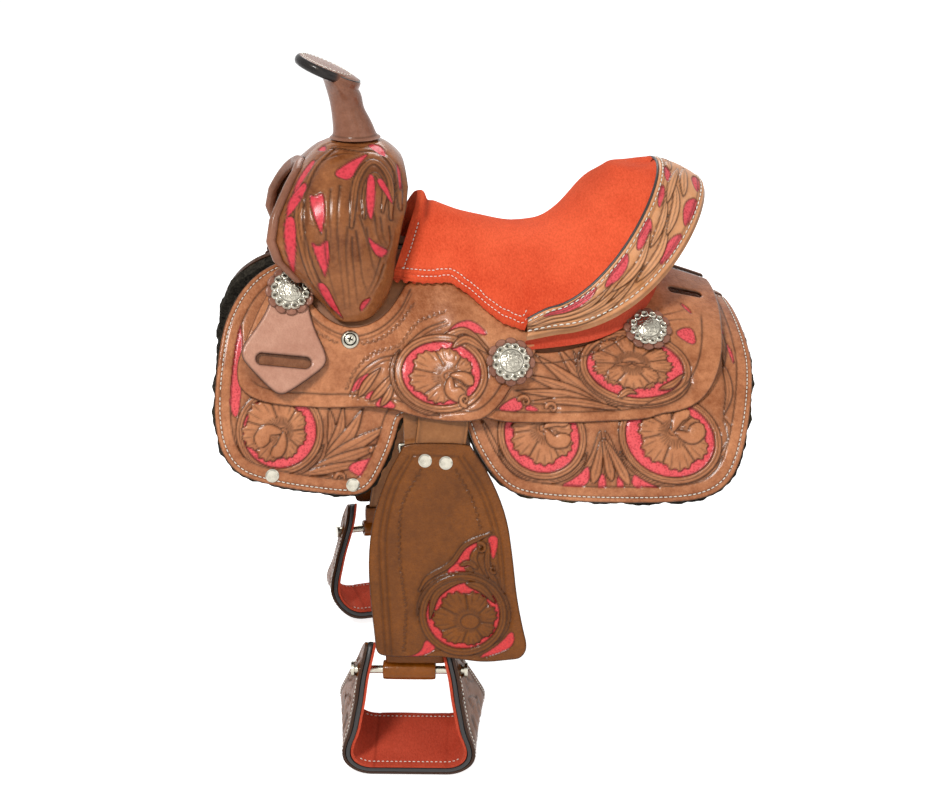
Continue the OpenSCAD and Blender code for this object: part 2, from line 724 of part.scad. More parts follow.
bolt_x = -33;
bolt_z = -24;
lower_w = 46;
loop_out = bolt_r + run_gap + strap_t;
module at_bolt() {
  hang() translate([bolt_x, knuckle_y - bolt_drop, bolt_z]) children();
}
rivet_spots = [[-17, -39], [3, -41]];
rivet_shank_r = 2.4;
// The lower strap follows the fender past its rivets, then leads in to the bolt
strap_bend = 76;
lead_fall = bolt_drop - strap_bend;
lead_in = bolt_z - ply_z;
lead_lean = atan(lead_in / lead_fall);
lead_run = lead_fall / cos(lead_lean);
module leather_lower() {
  r = strap_t / 2;
  bend = [-strap_bend, 0];
  last = [-bolt_drop, lead_in];
  out = unit([lead_in, lead_fall]);
  mitre = unit(out + [0, 1]);
  difference() {
    union() {
      hang() translate([0, knuckle_y, ply_z]) intersection() {
        rotate([90, 0, 90]) translate([0, 0, -80]) linear_extrude(160) polygon(concat(
          [for (g = [0 : 20 : 180]) r * [sin(g), cos(g)]],
          [bend - r * mitre, last - r * out, last + r * out, bend + r * mitre]
        ));
        translate([0, 0, -60]) linear_extrude(120) polygon([
          [-strap_w / 2, 10], [strap_w / 2, 10],
          [bolt_x + lower_w / 2, -bolt_drop - 2], [bolt_x - lower_w / 2, -bolt_drop - 2]
        ]);
      }
      at_bolt() rotate([0, 90, 0]) cylinder(r = loop_out, h = lower_w - 1, center = true);
    }
    at_bolt() rotate([0, 90, 0]) cylinder(r = bolt_r + run_gap, h = lower_w + 20, center = true);
    for (p = rivet_spots)
      hang() translate([p.x, p.y, -20]) cylinder(r = rivet_shank_r + hole_gap, h = 40);
  }
}
module leather_lower_left() { color("sienna") leather_lower(); }
module leather_lower_right() { color("sienna") right() leather_lower(); }

// Fender outline from its top edge: share of its length down, left edge, right edge
fender_top = -22;
fender_edges = [
  [0, -36, 25], [0.03, -40, 29], [0.15, -54, 46], [0.33, -67, 62], [0.52, -72, 68], [0.7, -70, 72],
  [0.86, -66, 79], [0.91, -65, 82], [0.95, -64, 81], [0.98, -62, 75], [0.985, -61, 66]
];
fender_foot = [[41, 0.998], [18, 0.985], [-3, 0.972], [-20, 0.976], [-58, 0.975]];
module fender() {
  left_side = [for (e = fender_edges) if (e[0] < 0.97) [e[1], fender_top - e[0] * fender_l]];
  right_side = [for (e = fender_edges) [e[2], fender_top - e[0] * fender_l]];
  foot = [for (p = fender_foot) [p.x, fender_top - p[1] * fender_l]];
  hang() difference() {
    linear_extrude(fender_t) polygon(concat(
      right_side, foot, [for (i = [len(left_side) - 1 : -1 : 0]) left_side[i]]
    ));
    for (p = rivet_spots) translate([p.x, p.y, -1]) cylinder(r = rivet_shank_r + hole_gap, h = fender_t + 2);
  }
}
module fender_left() { color("saddlebrown") fender(); }
module fender_right() { color("saddlebrown") right() fender(); }
module rivet_head(r) {
  rotate_extrude() polygon([[0, 0], [r, 0], [r, 0.7], [r * 0.75, 1.8], [0, 2.4]]);
}
module fender_rivets() {
  for (p = rivet_spots) hang() translate([p.x, p.y, 0]) {
    translate([0, 0, fender_t]) rivet_head(rivet_r);
    translate([0, 0, ply_z - strap_t / 2]) cylinder(r = rivet_shank_r, h = strap_t / 2 - ply_z + fender_t + 0.1);
  }
}
module fender_rivets_left() { color("silver") fender_rivets(); }
module fender_rivets_right() { color("silver") right() fender_rivets(); }
// A keeper band round the lower strap just above the bolt
hobble_w = 58;
hobble_h = 21;
hobble_t = 3;
hobble_rise = 12;
module hobble_strap() {
  hang() translate([bolt_x + 2, knuckle_y - strap_bend, ply_z]) rotate([-lead_lean, 0, 0])
    translate([0, hobble_rise - lead_run, 0]) rotate([90, 0, 0]) translate([0, 0, -hobble_h])
      linear_extrude(hobble_h) difference() {
        square([hobble_w, strap_t + 2 * gap + 2 * hobble_t], center = true);
        square([hobble_w - 2 * hobble_t, strap_t + 2 * gap], center = true);
      }
}
module hobble_strap_left() { color("chocolate") hobble_strap(); }
module hobble_strap_right() { color("chocolate") right() hobble_strap(); }

// Stirrups: layers of one bent strip; d is the distance outside the frame's inner face
stirrup_tilt = 6;
arm_splay = 16;
ear_h = 31;
lining_t = 2.4;
skin_t = 2.8;
skin_gap = 0.2;
module at_stirrup() {
  at_bolt() rotate([stirrup_tilt - fender_slope, 0, 0]) children();
}
function arm_side(d, side) =
  let(
    r = bend_r + d,
    c = [tread_hw, bend_r - foot_h],
    rise = (ear_h + 10 - c[1] - r * sin(arm_splay)) / cos(arm_splay),
    top = c + r * [cos(arm_splay), sin(arm_splay)] + rise * [-sin(arm_splay), cos(arm_splay)]
  )
  [for (p = concat([top], [for (i = [0 : 12]) let(g = mix(arm_splay, -90, i / 12)) c + r * [cos(g), sin(g)]]))
    [side * p.x, p.y]];
function turned(list) = [for (i = [len(list) - 1 : -1 : 0]) list[i]];
module strip(d1, d2) {
  rotate([90, 0, 0]) translate([0, 0, -tread_depth]) linear_extrude(2 * tread_depth) polygon(concat(
    arm_side(d2, 1), turned(arm_side(d2, -1)), arm_side(d1, -1), turned(arm_side(d1, 1))
  ));
}
function ear_profile() =
  let(w = tread_depth / 2)
  [
    [w, -foot_h - 40], [w, -foot_h * 0.72], [w * 0.8, -foot_h * 0.5], [w * 0.56, -foot_h * 0.22],
    [w * 0.42, 0], [w * 0.33, ear_h * 0.6], [w * 0.2, ear_h * 0.93], [0, ear_h]
  ];
module stirrup_layer(d1, d2) {
  half = ear_profile();
  at_stirrup() difference() {
    intersection() {
      strip(d1, d2);
      rotate([90, 0, 90]) translate([0, 0, -150]) linear_extrude(300) polygon(concat(
        half, [for (i = [len(half) - 2 : -1 : 0]) [-half[i].x, half[i].y]]
      ));
    }
    rotate([0, 90, 0]) cylinder(r = bolt_r + hole_gap, h = 300, center = true);
  }
}
module stirrup_frame_left() { color("sienna") stirrup_layer(0, frame_t); }
module stirrup_frame_right() { color("sienna") right() stirrup_layer(0, frame_t); }
module stirrup_cover_left() { color("sienna") stirrup_layer(frame_t + skin_gap, frame_t + skin_gap + skin_t); }
module stirrup_cover_right() {
  color("sienna") right() stirrup_layer(frame_t + skin_gap, frame_t + skin_gap + skin_t);
}
module stirrup_lining_left() { color("tomato") stirrup_layer(-skin_gap - lining_t, -skin_gap); }
module stirrup_lining_right() { color("tomato") right() stirrup_layer(-skin_gap - lining_t, -skin_gap); }
// Half the width over the arms at the bolt
function arm_out() =
  let(r = bend_r + frame_t + skin_gap + skin_t, c = [tread_hw, bend_r - foot_h])
  c.x + (r + c.y * sin(arm_splay)) / cos(arm_splay);
bolt_head_r = 7.5;
bolt_head_t = 3;
module stirrup_bolt() {
  reach = arm_out() + bolt_head_r * tan(arm_splay) + 0.3;
  at_stirrup() rotate([0, 90, 0]) {
    cylinder(r = bolt_r, h = 2 * reach + 0.2, center = true);
    for (side = [-1, 1]) translate([0, 0, side * (reach + bolt_head_t / 2)])
      cylinder(r = bolt_head_r, h = bolt_head_t, center = true);
  }
}
module stirrup_bolt_left() { color("silver") stirrup_bolt(); }
module stirrup_bolt_right() { color("silver") right() stirrup_bolt(); }

// Latigo keeper: a slotted diamond that hangs from the front concho
neck_r = 18;
module keeper() {
  side = [[19, -15], [26, -33], [37, -52], [41, -62], [39, -70], [30, -79], [8, -98]];
  at_keeper() rotate([0, 0, -keeper_hang]) difference() {
    linear_extrude(keeper_t) polygon(concat(
      [for (i = [len(side) - 1 : -1 : 0]) side[i]],
      [for (g = [0 : 15 : 180]) neck_r * [cos(g), sin(g)]],
      [for (p = side) [-p.x, p.y]],
      [[0, -101]]
    ));
    translate([0, -68, keeper_t / 2]) slot_cut(keeper_slot_l, keeper_slot_w, keeper_t);
    translate([0, 0, -1]) cylinder(r = screw_r + run_gap, h = keeper_t + 2);
  }
}
module latigo_keeper_left() { color("rosybrown") keeper(); }
module latigo_keeper_right() { color("rosybrown") right() keeper(); }

// Conchos on their rosettes
module stack(z) {
  for (k = [0 : 2]) {
    if (k == 0) at_keeper() translate([0, 0, keeper_t + gap + z]) children();
    if (k == 1) at_middle() translate([0, 0, lift_concho + z]) children();
    if (k == 2) at_rear() translate([0, 0, lift_concho + z]) children();
  }
}
module conchos() {
  color("silver") both() stack(rosette_t + 0.2) rotate_extrude() polygon([
    [0, 0], [concho_r, 0], [concho_r, 1.4], [concho_r - 4, 2.6], [concho_r - 6, 2.4],
    [concho_r - 9, 4.6], [0, 6.4]
  ]);
}
module rosettes() {
  color("saddlebrown") both() stack(0) difference() {
    cylinder(r = rosette_r, h = rosette_t);
    translate([0, 0, -1]) cylinder(r = screw_r + hole_gap, h = rosette_t + 2);
  }
}
module concho_screws() {
  color("silver") both() {
    at_keeper() translate([0, 0, -front_depth]) cylinder(r = screw_r, h = front_depth + keeper_t + gap + rosette_t);
    at_middle() translate([0, 0, -middle_depth]) cylinder(r = screw_r, h = middle_depth + lift_concho + rosette_t);
    at_rear() translate([0, 0, -rear_depth]) cylinder(r = screw_r, h = rear_depth + lift_concho + rosette_t);
  }
}
washer_r = 9;
module finishing_washers() {
  color("silver") both() at_washer() translate([0, 0, 0.3]) rotate_extrude() polygon([
    [screw_r + hole_gap, 0], [washer_r, 0], [washer_r, 0.8], [washer_r - 3, 2.6], [screw_r + hole_gap, 2.6]
  ]);
}
module jockey_screws() {
  color("silver") both() at_washer() {
    translate([0, 0, -rear_depth]) cylinder(r = screw_r, h = rear_depth + 3.2);
    translate([0, 0, 3.1]) rotate_extrude() polygon([[0, 0], [5, 0], [4, 1.6], [0, 2.2]]);
  }
}
module skirt_rivets() {
  color("silver") both() for (p = rivet_places)
    on_surface(p.x, p[1], function(x, s) skirt_t) {
      translate([0, 0, 0.15]) rivet_head(rivet_r);
      translate([0, 0, -skirt_t]) cylinder(r = rivet_shank_r, h = skirt_t + 0.3);
    }
}

tree_bar_left();
tree_bar_right();
tree_fork();
tree_cantle();
ground_seat();
horn_core();
horn_wrap();
horn_cap();
fork_cover();
gullet_roll();
seat_cover();
cantle_back();
cantle_binding();
skirt_left();
skirt_right();
fleece_left();
fleece_right();
seat_jockey_left();
seat_jockey_right();
rear_jockey_left();
rear_jockey_right();
rigging_strap_left();
rigging_strap_right();
rigging_dee_left();
rigging_dee_right();
leather_upper_left();
leather_upper_right();
leather_hanger_left();
leather_hanger_right();
leather_lower_left();
leather_lower_right();
fender_left();
fender_right();
fender_rivets_left();
fender_rivets_right();
hobble_strap_left();
hobble_strap_right();
stirrup_frame_left();
stirrup_frame_right();
stirrup_cover_left();
stirrup_cover_right();
stirrup_lining_left();
stirrup_lining_right();
stirrup_bolt_left();
stirrup_bolt_right();
latigo_keeper_left();
latigo_keeper_right();
conchos();
rosettes();
concho_screws();
jockey_screws();
finishing_washers();
skirt_rivets();
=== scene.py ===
# Western saddle: tooled leather, suede seat, conchos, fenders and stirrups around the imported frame
import math
import bpy
import numpy as np
from mathutils import Matrix, Vector
from mathutils.geometry import delaunay_2d_cdt


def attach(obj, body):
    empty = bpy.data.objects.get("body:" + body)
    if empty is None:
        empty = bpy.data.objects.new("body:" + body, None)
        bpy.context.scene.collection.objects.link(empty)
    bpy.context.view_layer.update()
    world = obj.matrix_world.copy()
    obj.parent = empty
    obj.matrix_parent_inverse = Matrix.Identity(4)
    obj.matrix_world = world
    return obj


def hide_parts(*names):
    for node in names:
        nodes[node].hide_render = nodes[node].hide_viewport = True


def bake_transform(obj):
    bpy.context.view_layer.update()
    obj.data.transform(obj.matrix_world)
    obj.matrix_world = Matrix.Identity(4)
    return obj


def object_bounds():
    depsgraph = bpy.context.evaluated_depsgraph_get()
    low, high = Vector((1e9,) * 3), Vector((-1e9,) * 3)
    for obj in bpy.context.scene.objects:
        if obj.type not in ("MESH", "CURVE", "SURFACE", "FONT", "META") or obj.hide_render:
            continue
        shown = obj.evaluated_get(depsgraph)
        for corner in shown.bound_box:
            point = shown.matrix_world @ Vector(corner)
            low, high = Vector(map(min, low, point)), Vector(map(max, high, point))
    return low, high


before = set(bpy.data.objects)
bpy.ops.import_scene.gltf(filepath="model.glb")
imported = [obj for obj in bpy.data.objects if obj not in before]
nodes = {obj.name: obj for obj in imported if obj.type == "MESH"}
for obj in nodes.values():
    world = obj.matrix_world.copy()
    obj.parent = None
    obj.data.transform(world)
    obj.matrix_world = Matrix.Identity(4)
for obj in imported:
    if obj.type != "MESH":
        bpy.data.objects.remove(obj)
cadLow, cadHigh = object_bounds()
scene = bpy.context.scene
scene.view_settings.view_transform = "Standard"
mm = 0.001
coarse = 1.0
print("frame loaded:", len(nodes), "nodes")

# Camera, floor and light
viewSet = {
    "turn": -7.0, "pitch": 20.6, "distance": 1.62, "aim": (-0.0128, -0.060, -0.1401),
    "focal": 1620.0, "imageWidth": 940.0, "sensor": 36.0,
}


def makeCamera(v):
    # Looks at the aim point from a turn about Z and a pitch above the horizon
    turn, pitch = math.radians(v["turn"]), math.radians(v["pitch"])
    back = Vector((math.sin(turn) * math.cos(pitch), -math.cos(turn) * math.cos(pitch), math.sin(pitch)))
    right = Vector((math.cos(turn), math.sin(turn), 0))
    up = back.cross(right)
    place = Matrix((right, up, back)).transposed().to_4x4()
    place.translation = Vector(v["aim"]) + back * v["distance"]
    data = bpy.data.cameras.new("camera")
    data.sensor_width = v["sensor"]
    data.lens = v["focal"] / v["imageWidth"] * v["sensor"]
    data.clip_start = 0.05
    camera = bpy.data.objects.new("camera", data)
    camera.matrix_world = place
    scene.collection.objects.link(camera)
    scene.camera = camera


lampSet = [   # name, place, aim, size, watts
    ("keyLamp", (-1.3, -2.0, 2.2), (0, 0, -0.1), 0.7, 66),
    ("fillLamp", (2.0, -1.9, 1.3), (0, 0, -0.1), 2.2, 13),
    ("frontLamp", (-0.3, -2.8, 0.5), (0, 0, -0.25), 2.0, 9),
    ("backLamp", (0.4, 2.2, 2.0), (0, 0, 0), 1.6, 34),
]
worldLevel = 0.24


def makeLight():
    for name, place, aim, size, watts in lampSet:
        data = bpy.data.lights.new(name, "AREA")
        data.shape = "DISK"
        data.size = size
        data.energy = watts
        lamp = bpy.data.objects.new(name, data)
        lamp.location = place
        lamp.rotation_euler = (Vector(aim) - Vector(place)).to_track_quat("-Z", "Y").to_euler()
        scene.collection.objects.link(lamp)
    world = bpy.data.worlds.new("studio")
    world.use_nodes = True
    tree = world.node_tree
    glow = tree.nodes["Background"]
    level = ranged(tree, seenRays(tree), 0.0, 1.0, worldLevel, 1.0)
    join(tree, glow, Color=(1, 1, 1, 1), Strength=level)
    scene.world = world


# Shader helpers
def rgb(code):
    # sRGB hex code to a linear colour
    c = np.array([int(code[i:i + 2], 16) for i in (1, 3, 5)]) / 255.0
    c = np.where(c <= 0.04045, c / 12.92, ((c + 0.055) / 1.055) ** 2.4)
    return (*[float(v) for v in c], 1.0)


def join(tree, node, **links):
    # Each link is a socket's name or i0, i1..., with a socket to link or a plain value to set
    for key, value in links.items():
        named = not key[1:].isdigit()
        socket = node.inputs[key.replace("_", " ") if named else int(key[1:])]
        if isinstance(value, bpy.types.NodeSocket):
            tree.links.new(value, socket)
        else:
            socket.default_value = value


def put(tree, kind, settings=None, **links):
    made = tree.nodes.new(kind)
    for key, value in (settings or {}).items():
        setattr(made, key, value)
    join(tree, made, **links)
    return made


def noise(tree, spot, scale, detail, rough=0.5):
    made = put(tree, "ShaderNodeTexNoise", None, Vector=spot, Scale=scale, Detail=detail, Roughness=rough)
    return made.outputs[0]


def blendColour(tree, share, a, b):
    made = put(tree, "ShaderNodeMix", {"data_type": "RGBA"}, i0=share, i6=a, i7=b)
    return made.outputs[2]


def sums(tree, way, a, b):
    return put(tree, "ShaderNodeMath", {"operation": way}, i0=a, i1=b).outputs[0]


def times(tree, a, b):
    return sums(tree, "MULTIPLY", a, b)


def ranged(tree, value, low, high, outLow=0.0, outHigh=1.0):
    made = put(tree, "ShaderNodeMapRange", None, i0=value, i1=low, i2=high, i3=outLow, i4=outHigh)
    return made.outputs[0]


def attribute(tree, name):
    return put(tree, "ShaderNodeAttribute", {"attribute_name": name}).outputs["Fac"]


def newGroup(name, ins, outs):
    group = bpy.data.node_groups.new(name, "ShaderNodeTree")
    for label, start in ins.items():
        socket = group.interface.new_socket(label, in_out="INPUT", socket_type="NodeSocketFloat")
        socket.default_value = start
    for label in outs:
        group.interface.new_socket(label, in_out="OUTPUT", socket_type="NodeSocketFloat")
    return group, group.nodes.new("NodeGroupInput"), group.nodes.new("NodeGroupOutput")


def makeGrain():
    # Leather grain: pebbles from a cell pattern under fine noise, and slow cloudy patches for the colour
    group, ins, outs = newGroup("leatherGrain", {"Size": 1.0, "Patches": 1.0}, ["Height", "Tone"])
    spot = put(group, "ShaderNodeTexCoord").outputs["Object"]
    size, patches = ins.outputs[:2]
    cells = put(group, "ShaderNodeTexVoronoi", None, Vector=spot,
                Scale=times(group, size, 430.0)).outputs[0]
    fine = noise(group, spot, times(group, size, 950.0), 3.0)
    cloud = noise(group, spot, times(group, patches, 22.0), 5.0, 0.62)
    mottle = noise(group, spot, 150.0, 5.0, 0.7)
    tone = sums(group, "ADD", times(group, cloud, 0.62), times(group, mottle, 0.38))
    height = sums(group, "ADD", times(group, cells, 0.7), times(group, fine, 0.6))
    join(group, outs, Height=height, Tone=ranged(group, tone, 0.36, 0.64))
    return group


def makeNap():
    # Suede nap: very fine noise for the height, brushed streaks and patches for the tone
    group, ins, outs = newGroup("suedeNap", {"Patches": 1.0}, ["Height", "Tone"])
    spot = put(group, "ShaderNodeTexCoord").outputs["Object"]
    brushed = put(group, "ShaderNodeMapping", None, Vector=spot, Scale=(1.0, 0.45, 0.7),
                  Rotation=(0, 0, 0.5))
    fine = noise(group, spot, 1500.0, 2.0)
    streak = noise(group, brushed.outputs[0], 620.0, 4.0, 0.7)
    patches = noise(group, spot, times(group, ins.outputs[0], 16.0), 3.0)
    tone = sums(group, "ADD", times(group, streak, 0.6), times(group, patches, 0.55))
    height = sums(group, "ADD", fine, streak)
    join(group, outs, Height=height, Tone=ranged(group, tone, 0.42, 0.74))
    return group


def newMaterial(name):
    made = bpy.data.materials.new(name)
    made.use_nodes = True
    return made, made.node_tree, made.node_tree.nodes["Principled BSDF"]


def useGroup(tree, group, **values):
    made = tree.nodes.new("ShaderNodeGroup")
    made.node_tree = group
    join(tree, made, **values)
    return made


def bumped(tree, shader, height, distance, strength):
    made = put(tree, "ShaderNodeBump", None, Height=height, Distance=distance, Strength=strength)
    join(tree, shader, Normal=made.outputs[0])


def tooledLeather(name, light, dark, size=1.0, gloss=0.34, redCode="#ee5a60", edgeCode="#2a1710",
                  relief=0.45):
    # Brown leather with the piece's own marks: painted ground, knife cuts, dark cut edge. Raised tops get a
    # painted highlight, and the cut mark also carries painted shade
    made, tree, shader = newMaterial(name)
    grain = useGroup(tree, grainGroup, Size=size)
    height, tone = grain.outputs["Height"], grain.outputs["Tone"]
    paint = attribute(tree, "paint")
    colour = blendColour(tree, tone, rgb(dark), rgb(light))
    # Raised tops lightened towards the light colour: a painted highlight
    colour = blendColour(tree, times(tree, attribute(tree, "raise"), 0.4), colour, rgb(light))
    pits = times(tree, ranged(tree, height, 0.3, 0.65, 1.0, 0.0), 0.5 * relief)
    colour = blendColour(tree, pits, colour, rgb(dark))
    red = blendColour(tree, ranged(tree, height, 0.25, 0.75), rgb("#b8313a"), rgb(redCode))
    colour = blendColour(tree, paint, colour, red)
    # The cut mark darkens knife cuts, and also carries painted shade on bevels, in low places and under the
    # keeper
    colour = blendColour(tree, times(tree, attribute(tree, "cut"), 0.9), colour, rgb("#2a140a"))
    colour = blendColour(tree, attribute(tree, "edge"), colour, rgb(edgeCode))
    polish = ranged(tree, tone, 0.0, 1.0, gloss + 0.06, gloss - 0.06)
    join(tree, shader, Base_Color=colour, Roughness=sums(tree, "ADD", times(tree, paint, 0.2), polish),
         Specular_IOR_Level=0.14, Specular_Tint=(1, 0.74, 0.5, 1), Coat_Weight=0.28, Coat_Roughness=0.17)
    bumped(tree, shader, height, 0.0008, relief)
    return made


def suede(name, light, dark):
    made, tree, shader = newMaterial(name)
    nap = useGroup(tree, napGroup)
    colour = blendColour(tree, nap.outputs["Tone"], rgb(dark), rgb(light))
    # The cut mark darkens seams and edges, and also carries painted shade in the seat's pleat and towards
    # its rear
    colour = blendColour(tree, times(tree, attribute(tree, "cut"), 0.6), colour, rgb("#7a2414"))
    join(tree, shader, Base_Color=colour, Roughness=0.95, Specular_IOR_Level=0.1, Sheen_Weight=0.25,
         Sheen_Roughness=0.5, Sheen_Tint=rgb("#ff9b7a"))
    bumped(tree, shader, nap.outputs["Height"], 0.0012, 0.5)
    return made


def plainFinish(name, code, rough, metallic=0.0, grained=False):
    made, tree, shader = newMaterial(name)
    join(tree, shader, Base_Color=rgb(code), Roughness=rough, Metallic=metallic)
    if grained:
        grain = useGroup(tree, grainGroup, Size=0.8)
        dark = times(tree, grain.outputs["Tone"], 0.4)
        join(tree, shader, Base_Color=blendColour(tree, dark, rgb(code), rgb("#181310")))
        bumped(tree, shader, grain.outputs["Height"], 0.0005, 0.2)
    return made


def silverFinish(name):
    # Nickel with its hollows gone dark
    made, tree, shader = newMaterial(name)
    grain = useGroup(tree, grainGroup, Size=0.7, Patches=6.0)
    cut = attribute(tree, "cut")
    tarnish = times(tree, grain.outputs["Tone"], 0.4)
    colour = blendColour(tree, tarnish, rgb("#bdb7a8"), rgb("#8d8777"))
    colour = blendColour(tree, cut, colour, rgb("#1d1914"))
    join(tree, shader, Base_Color=colour, Metallic=1.0, Roughness=ranged(tree, cut, 0.0, 1.0, 0.24, 0.55))
    bumped(tree, shader, grain.outputs["Height"], 0.0003, 0.12)
    return made


def fleeceFinish(name):
    # Dark wool with an olive tint at the tips
    made, tree, shader = newMaterial(name)
    spot = put(tree, "ShaderNodeTexCoord").outputs["Object"]
    locks = noise(tree, spot, 240.0, 6.0, 0.7)
    tint = noise(tree, spot, 24.0, 2.0)
    colour = blendColour(tree, ranged(tree, locks, 0.35, 0.7), rgb("#15120f"), rgb("#4a443a"))
    colour = blendColour(tree, ranged(tree, tint, 0.52, 0.68, 0.0, 0.55), colour, rgb("#6b5c34"))
    join(tree, shader, Base_Color=colour, Roughness=1.0, Specular_IOR_Level=0.1)
    bumped(tree, shader, locks, 0.003, 0.8)
    return made


def seenRays(tree):
    # One for rays that show the background: from the camera, off metal, through glass
    path = put(tree, "ShaderNodeLightPath").outputs
    shown = sums(tree, "MAXIMUM", path["Is Camera Ray"], path["Is Glossy Ray"])
    return sums(tree, "MAXIMUM", shown, path["Is Transmission Ray"])


def floorFinish(name):
    # Pale floor that the camera sees as white, apart from the object's shadow
    made, tree, shader = newMaterial(name)
    join(tree, shader, Base_Color=(0.86, 0.86, 0.86, 1), Roughness=0.9, Specular_IOR_Level=0.0)
    glow = put(tree, "ShaderNodeEmission", None, Strength=0.84).outputs[0]
    plain = shader.outputs[0]
    both = put(tree, "ShaderNodeAddShader", None, i0=plain, i1=glow).outputs[0]
    chosen = put(tree, "ShaderNodeMixShader", None, i0=seenRays(tree), i1=plain, i2=both)
    join(tree, tree.nodes["Material Output"], Surface=chosen.outputs[0])
    return made


# Numbers on the back of the saddle, in millimetres: x along it, s round it from the spine, h off it
back = {"reach": 250.0, "depth": 265.0, "top": (45.0, 38.0, 6.0), "low": (78.0, 76.0, 68.0)}
layer = {"gap": 0.4, "skirt": 5.0, "bar": 14.4, "jockey": 3.6, "strapLift": 19.4, "strapX": -47.0}


xWay, yWay, zWay = np.eye(3)


def mix(a, b, t):
    return a + (b - a) * t


def smooth(t):
    # Rises from 0 to 1 with level ends
    t = np.clip(t, 0, 1)
    return t * t * (3 - 2 * t)


def bell(d, width):
    # Falls off to both sides of nothing: e to the power of minus d over width, squared
    return np.exp(-(d / width) ** 2)


def fade(d, reach):
    # Falls evenly from 1 to 0 over the reach
    return np.clip(1 - d / reach, 0, 1)


def around(count):
    # Angles evenly round a full turn
    return np.linspace(0, 2 * np.pi, count, endpoint=False)


def tabled(rows, x):
    # Reads the second column of a table at x in the first
    rows = np.asarray(rows, float)
    return np.interp(x, rows[:, 0], rows[:, 1])


def crossed(a, b):
    return np.meshgrid(a, b, indexing="ij")


def runOf(line):
    # Distance along a line of points, from its start
    return np.concatenate([[0], np.cumsum(np.linalg.norm(np.diff(line, axis=0), axis=1))])


def unit(v):
    return v / np.linalg.norm(v, axis=-1, keepdims=True)


def turnedAxes(axis, degrees):
    # Rows are the axes of a frame turned about X, Y or Z
    c, s = math.cos(math.radians(degrees)), math.sin(math.radians(degrees))
    return np.roll([[c, s, 0], [-s, c, 0], [0, 0, 1]], "ZXY".index(axis), (0, 1))


def stack(*parts):
    return np.stack(np.broadcast_arrays(*parts), -1).astype(float)


def through(three, t):
    # The curve through three values at t = -1, 0 and 1
    a, b, c = three
    return b + (c - a) / 2 * t + ((a + c) / 2 - b) * t * t


def slopes(x):
    top = np.radians(through(back["top"], x / back["reach"]))
    low = np.radians(through(back["low"], x / back["reach"]))
    return top, low, (low - top) / back["depth"]


def ridge(x):
    top, low, curl = slopes(x)
    top0, low0, curl0 = slopes(0.0)
    return (np.cos(top) - np.cos(low)) / curl - (np.cos(top0) - np.cos(low0)) / curl0


def onBack(x, s, h):
    # Each section is an arc whose slope grows evenly from the spine down; h is along its normal
    top, low, curl = slopes(x)
    th = mix(top, low, s / back["depth"])
    y = -(np.sin(th) - np.sin(top)) / curl - h * np.sin(th)
    return stack(x, y, ridge(x) - (np.cos(top) - np.cos(th)) / curl + h * np.cos(th))


def slopeInPlan(x, y, h):
    top, _, curl = slopes(x)
    return np.arcsin(np.minimum(0.999, (np.sin(top) + curl * np.abs(y)) / (1 + curl * h)))


def deck(x, y, h):
    # Level of the surface h off the back, above a place in plan
    top, _, curl = slopes(x)
    th = slopeInPlan(x, y, h)
    return ridge(x) - (np.cos(top) - np.cos(th)) / curl + h * np.cos(th)


def arcAt(x, y, h):
    top, low, _ = slopes(x)
    return (slopeInPlan(x, y, h) - top) / (low - top) * back["depth"]


def nearStrap(x):
    return smooth(1 - np.maximum(0, np.abs(x - layer["strapX"]) - 32) / 70)


def underRear(x, s):
    # The jockey lies on the bars, then drops to the skirt, except over the stirrup leather
    outer = mix(layer["skirt"] + layer["gap"], layer["strapLift"], nearStrap(x))
    return mix(layer["bar"] + layer["gap"], outer, smooth((s - 100) / 80))


def jockeyStep(x):
    return (layer["jockey"] + 2 * layer["gap"]) * smooth((x + 58) / 36)


def overRear(x, s):
    return underRear(x, s) + layer["jockey"]


def overSeat(x, s):
    return overRear(x, s) + jockeyStep(x)


def flat(level):
    return lambda p, q: np.full(np.shape(p), float(level))


# Mesh makers: points in millimetres, faces as arrays of equal length, fields as one number per point
def meshPiece(name, points, faces, finish, fields=None, crease=48):
    points = np.asarray(points, float)
    volume = 0.0   # from fans of triangles; a negative one means the faces look inward
    for f in faces:
        for k in range(1, f.shape[1] - 1):
            volume += (points[f[:, 0]] * np.cross(points[f[:, k]], points[f[:, k + 1]])).sum()
    if volume < 0:
        faces = [f[:, ::-1] for f in faces]
    mesh = bpy.data.meshes.new(name)
    corners = np.concatenate([f.ravel() for f in faces]).astype(np.int32)
    sizes = np.concatenate([np.full(len(f), f.shape[1]) for f in faces])
    starts = np.concatenate([[0], np.cumsum(sizes)[:-1]]).astype(np.int32)
    mesh.vertices.add(len(points))
    mesh.vertices.foreach_set("co", (points * mm).astype(np.float32).ravel())
    mesh.loops.add(len(corners))
    mesh.loops.foreach_set("vertex_index", corners)
    mesh.polygons.add(len(sizes))
    mesh.polygons.foreach_set("loop_start", starts)
    mesh.polygons.foreach_set("use_smooth", np.ones(len(sizes), bool))
    mesh.update(calc_edges=True)
    mesh.validate()
    mesh.set_sharp_from_angle(angle=math.radians(crease))
    for label, values in (fields or {}).items():
        made = mesh.attributes.new(label, "FLOAT", "POINT")
        made.data.foreach_set("value", np.asarray(values, np.float32).ravel())
    mesh.materials.append(finish)
    piece = bpy.data.objects.new(name, mesh)
    scene.collection.objects.link(piece)
    return piece


def gridFaces(ni, nj, start=0, flip=False, wrap=False):
    # Four-sided faces between the rows of a grid; wrap joins each row's end to its start
    i, j = crossed(np.arange(ni - 1), np.arange(nj if wrap else nj - 1))
    k = (j + 1) % nj
    corners = [i * nj + j, (i + 1) * nj + j, (i + 1) * nj + k, i * nj + k]
    quads = np.stack(corners, -1).reshape(-1, 4) + start
    return quads[:, ::-1] if flip else quads


